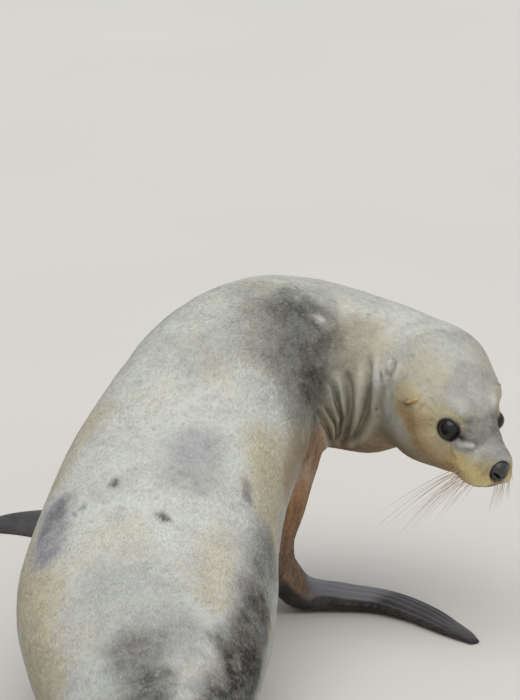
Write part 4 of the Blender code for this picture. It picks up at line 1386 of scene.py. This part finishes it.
def make_whiskers(side, letter, look):
    """Tapered tubes in rows on the lip pad. Each leaves the skin outwards and backwards, and
    bends down by the square of the distance along it. Longer ones grow further back."""
    draw = np.random.default_rng(41 if side > 0 else 43)
    row, column = np.meshgrid(np.arange(WHISKER_ROWS), np.arange(WHISKERS_IN_ROW), indexing="ij")
    row, column = row.ravel(), column.ravel()
    number = len(row)
    ahead = 0.168 - 0.0072 * column - 0.0015 * row + draw.normal(0, 0.0008, number)
    above = -0.049 - 0.0064 * row + 0.0004 * column + draw.normal(0, 0.0006, number)
    guess = np.stack([ahead, above, np.full(number, 0.040 * side)], 1)
    head = from_head(skin_points)
    near = np.flatnonzero((head[:, 0] > 0.10) & (head[:, 2] * side > 0.008) & on_head(skin_facts))
    gap = ((head[near][None, :, :2] - guess[:, None, :2]) ** 2).sum(axis=2)
    pick = near[gap.argmin(axis=1)]
    root = skin_points[pick] - 0.0015 * skin_normals[pick]
    length = 0.050 + 0.021 * column + draw.uniform(-0.014, 0.014, number)
    length = np.clip(length * (1.04 - 0.06 * row), 0.03, 0.165)
    way = np.stack([
        -0.40 - 0.03 * column + 0.03 * row + draw.normal(0, 0.06, number),
        -0.66 - 0.24 * row + draw.normal(0, 0.10, number),
        side * (0.46 + draw.normal(0, 0.05, number)),
    ], 1)
    way = unit(unit(way) @ HEAD_AXES.T + 0.15 * skin_normals[pick])
    steps, sides = 15, 6
    t = np.linspace(0, 1, steps)
    fall = np.stack([0.16 * unit(HEAD_AXES @ (-1.0, -0.2, 0.0))] * number)
    sag = -UP * 0.30 + fall
    path = root[:, None] + length[:, None, None] * (
        t[None, :, None] * way[:, None] + (t**2)[None, :, None] * sag[:, None]
    )
    facing = unit(np.gradient(path, axis=1))
    across = unit(np.cross(facing, UP + 0.01))
    over = np.cross(across, facing)
    turn = np.linspace(0, 2 * np.pi, sides, endpoint=False)
    radius = (0.00052 * (1 - t) ** 0.8 + 0.00009)[None, :, None, None]
    radius = radius * (0.7 + 0.5 * length / 0.15)[:, None, None, None]
    rings = path[:, :, None] + radius * (
        np.cos(turn)[None, None, :, None] * across[:, :, None]
        + np.sin(turn)[None, None, :, None] * over[:, :, None]
    )
    vertices, triangles, along, start = [], [], [], 0
    for tube in rings:
        points, faces = closed_loft(tube)
        vertices.append(points)
        triangles.append(faces + start)
        along.append(np.concatenate([np.repeat(t, sides), [0, 1]]))
        start += len(points)
    piece("whiskers_" + letter, np.concatenate(vertices), np.concatenate(triangles),
          {"along": np.concatenate(along)}, look, "claw", ("muzzle",))


WHISKER_LOOK = whisker_finish()
make_whiskers(1, "R", WHISKER_LOOK)
make_whiskers(-1, "L", WHISKER_LOOK)

CLAW_LOOK = claw_finish()
for node_name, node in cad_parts.items():
    if node_name.startswith("claw_"):
        for slot_of in node.material_slots:
            slot_of.material = CLAW_LOOK

# ---------------------------------------------------------------- coat
TUFT_SPACING = 0.00270
TUFT_LENGTH = 0.0105
HEAD_DENSITY = 2.2  # tufts on the head, to each on the body
PIECE_TRIANGLES = 190000
TUFT_TRIANGLES = 4
PATCH_SIZE = 0.0015  # half of a tuft's patch on the flat map
TUFT_SUNK = 0.0003
SKIN_SHADING = 0.86  # how much of a tuft's shading normal is the skin's
TUFT_FLOOR = 0.0006


def unwrap(facts):
    """A flat map of the skin's own shape: distance along the body or limb one way, the turn
    round it the other, with a strip of the map for each limb."""
    station, turn, limb = facts[:, 0], np.arctan2(facts[:, 2], facts[:, 1]), facts[:, 6]
    u, v = np.zeros(len(facts)), np.zeros(len(facts))
    for which, left, right, low, high in (
        (BODY, 0.02, 0.98, 0.34, 0.98),
        (FORE_R, 0.02, 0.48, 0.18, 0.31),
        (FORE_L, 0.52, 0.98, 0.18, 0.31),
        (HIND_R, 0.02, 0.48, 0.02, 0.15),
        (HIND_L, 0.52, 0.98, 0.02, 0.15),
    ):
        at = limb == which
        longest = skin_facts[skin_facts[:, 6] == which, 0].max()
        u[at] = left + (right - left) * np.clip(station[at] / longest, 0, 1)
        v[at] = low + (high - low) * (turn[at] / (2 * np.pi) + 0.5)
    return np.stack([u, v], 1)


def scatter(draw):
    """Places over the skin, as many on each triangle as its area asks for, each at random
    shares of its corners."""
    a, b, c = skin_points[skin_triangles].transpose(1, 0, 2)
    area = np.linalg.norm(np.cross(b - a, c - a), axis=1) / 2
    head = on_head(skin_facts)[skin_triangles[:, 0]]
    density = np.where(head, HEAD_DENSITY, 1.0) / TUFT_SPACING**2
    number = draw.poisson(area * density)
    which = np.repeat(np.arange(len(area)), number)
    r1, r2 = np.sqrt(draw.random(len(which))), draw.random(len(which))
    return which, np.stack([1 - r1, r1 * (1 - r2), r1 * r2], 1)


def make_coat():
    """Closed tufts of short hair over the furred skin. Each is a thin leaf of four points: two
    at the root, one on the ridge and one at the tip, laid along the lie of the coat. They are
    longest on the trunk and smallest on the face and limbs."""
    draw = np.random.default_rng(7)
    which, share = scatter(draw)
    corners = skin_triangles[which]

    def blend(values):
        return np.einsum("ij,ijk->ik", share, values[corners])

    root, normal, facts = blend(skin_points), unit(blend(skin_normals)), blend(skin_facts)
    facts[:, 6] = skin_facts[corners[:, 0], 6]
    marks = {kind: (share * values[corners]).sum(axis=1) for kind, values in skin_marks.items()}
    head = from_head(root)
    on = on_head(facts)
    keep = (marks["bare"] < 0.45) & (marks["wet"] < 0.30) & (root[:, 2] > 0.004)
    keep &= ~(on & (head[:, 0] > 0.186))
    root, normal, facts, head, on = (v[keep] for v in (root, normal, facts, head, on))
    marks = {kind: values[keep] for kind, values in marks.items()}
    number = len(root)
    lie = facts[:, 3:6]
    swirl = np.stack([lattice_noise(root, 0.05, 31 + k) for k in range(3)], 1)
    lie = lie + 0.22 * swirl + draw.normal(0, 0.10, (number, 3))
    lie = unit(lie - (lie * normal).sum(axis=1)[:, None] * normal)
    aside = np.cross(normal, lie)
    length = TUFT_LENGTH * (1 + 0.25 * lattice_noise(root, 0.03, 35))
    length *= draw.uniform(0.75, 1.2, number)
    face = smoothstep(1.70, 1.93, facts[:, 0]) * (facts[:, 6] == BODY)
    length *= 1 - 0.66 * face
    length *= np.where(facts[:, 6] == BODY, 1.0, 0.62)
    length *= 1 - 0.6 * marks["bare"]
    length *= 1 - 0.72 * smoothstep(0.05, 0.5, marks["ruck"])
    width = length * 0.125 + 0.0003
    rise = length * 0.022 + 0.00015
    lift = length * draw.uniform(0.02, 0.08, number)
    points = np.stack([
        root + aside * (width / 2)[:, None] - normal * TUFT_SUNK,
        root - aside * (width / 2)[:, None] - normal * TUFT_SUNK,
        root + lie * (length * 0.42)[:, None] + normal * (rise + lift * 0.4)[:, None],
        root + lie * length[:, None] + normal * lift[:, None],
    ], 1)
    points[..., 2] = np.maximum(points[..., 2], TUFT_FLOOR)
    shade = np.clip(0.5 + draw.normal(0, 0.17, number), 0, 1)
    faces = np.array([(0, 1, 2), (1, 3, 2), (3, 0, 2), (0, 3, 1)])
    patch = PATCH_SIZE * np.array([(-1, -1), (1, -1), (0, 0.2), (0, 1)])
    places = np.clip(unwrap(facts)[:, None] + patch[None], 0.0005, 0.9995)
    order = np.argsort(facts[:, 6] * 10 + facts[:, 0], kind="stable")
    parts = int(np.ceil(number * TUFT_TRIANGLES / PIECE_TRIANGLES))
    print("tufts", number, "pieces", parts)
    look = coat_finish()
    for index, chosen in enumerate(np.array_split(order, parts)):
        vertices = points[chosen].reshape(-1, 3)
        triangles = (np.arange(len(chosen))[:, None, None] * 4 + faces).reshape(-1, 3)
        attributes = {kind: np.repeat(values[chosen], 4) for kind, values in marks.items()}
        attributes["shade"] = np.repeat(shade[chosen], 4)
        on_nodes = nodes_under(facts[chosen])
        made = piece(f"coat_{index + 1}", vertices, triangles, attributes, look, "coat", on_nodes)
        layer = made.data.uv_layers.new(name="OFBake")
        flat = places[chosen][:, faces.ravel()].reshape(-1, 2)
        layer.data.foreach_set("uv", flat.astype(np.float32).ravel())
        soft = SKIN_SHADING * np.repeat(normal[chosen], 4, axis=0)
        soft += (1 - SKIN_SHADING) * normals_of(vertices, triangles)
        made.data.normals_split_custom_set_from_vertices(unit(soft))


def nodes_under(facts):
    """The solids whose coat a share of the tufts is: those of the limbs it is on."""
    of_limb = {
        BODY: ("hips", "belly", "ribs", "chest", "neck_base", "neck_top", "head"),
        FORE_R: ("foreleg_R",),
        FORE_L: ("foreleg_L",),
        HIND_R: ("hind_leg_R",),
        HIND_L: ("hind_leg_L",),
    }
    return [node for limb in np.unique(facts[:, 6]) for node in of_limb[int(limb)]]


make_coat()


# ---------------------------------------------------------------- floor, lights and camera
def make_stage():
    """A wide pale floor, and soft light from above and in front."""
    bpy.ops.mesh.primitive_plane_add(size=60)
    floor = bpy.context.object
    floor.name = "floor"
    floor.data.materials.append(floor_finish())
    world = bpy.data.worlds.new("studio")
    bpy.context.scene.world = world
    world.use_nodes = True
    sky = world.node_tree.nodes["Background"]
    sky.inputs["Color"].default_value = (0.94, 0.96, 1.0, 1)
    sky.inputs["Strength"].default_value = 0.55

    def soft_sun(name, toward, spread, power, colour):
        light = bpy.data.lights.new(name, "SUN")
        light.angle = math.radians(spread)
        light.energy = power
        light.color = colour
        holder = bpy.data.objects.new(name, light)
        holder.rotation_euler = look_along(-np.array(toward))
        bpy.context.scene.collection.objects.link(holder)

    soft_sun("overhead", (-0.25, -0.10, 1.0), 60, 1.52, (1.0, 0.98, 0.94))
    soft_sun("front", (-0.7, -0.35, 0.7), 90, 0.50, (1.0, 0.99, 0.97))


def look_along(aim):
    """The Euler angles that turn a camera or lamp, which looks along -Z, along aim."""
    return Vector(aim).to_track_quat("-Z", "Y").to_euler()


CAMERA_TARGET = SLIDE + (0, 0, 0.515)
CAMERA_DISTANCE = 6.5
CAMERA_LENS = 187.2
SENSOR_HEIGHT = 36
CAMERA_YAW = math.radians(20)
CAMERA_FALL = math.radians(15)


def make_camera():
    """The camera looks along the back from behind, a little down."""
    level = np.array([math.cos(CAMERA_YAW), math.sin(CAMERA_YAW), 0])
    aim = math.cos(CAMERA_FALL) * level - math.sin(CAMERA_FALL) * UP
    camera = bpy.data.cameras.new("camera")
    camera.sensor_fit = "VERTICAL"
    camera.sensor_height = SENSOR_HEIGHT
    camera.lens = CAMERA_LENS
    camera.clip_end = 100
    holder = bpy.data.objects.new("camera", camera)
    holder.location = CAMERA_TARGET - CAMERA_DISTANCE * aim
    holder.rotation_euler = look_along(aim)
    bpy.context.scene.collection.objects.link(holder)
    bpy.context.scene.camera = holder


make_stage()
make_camera()
bpy.context.scene.view_settings.view_transform = "Standard"
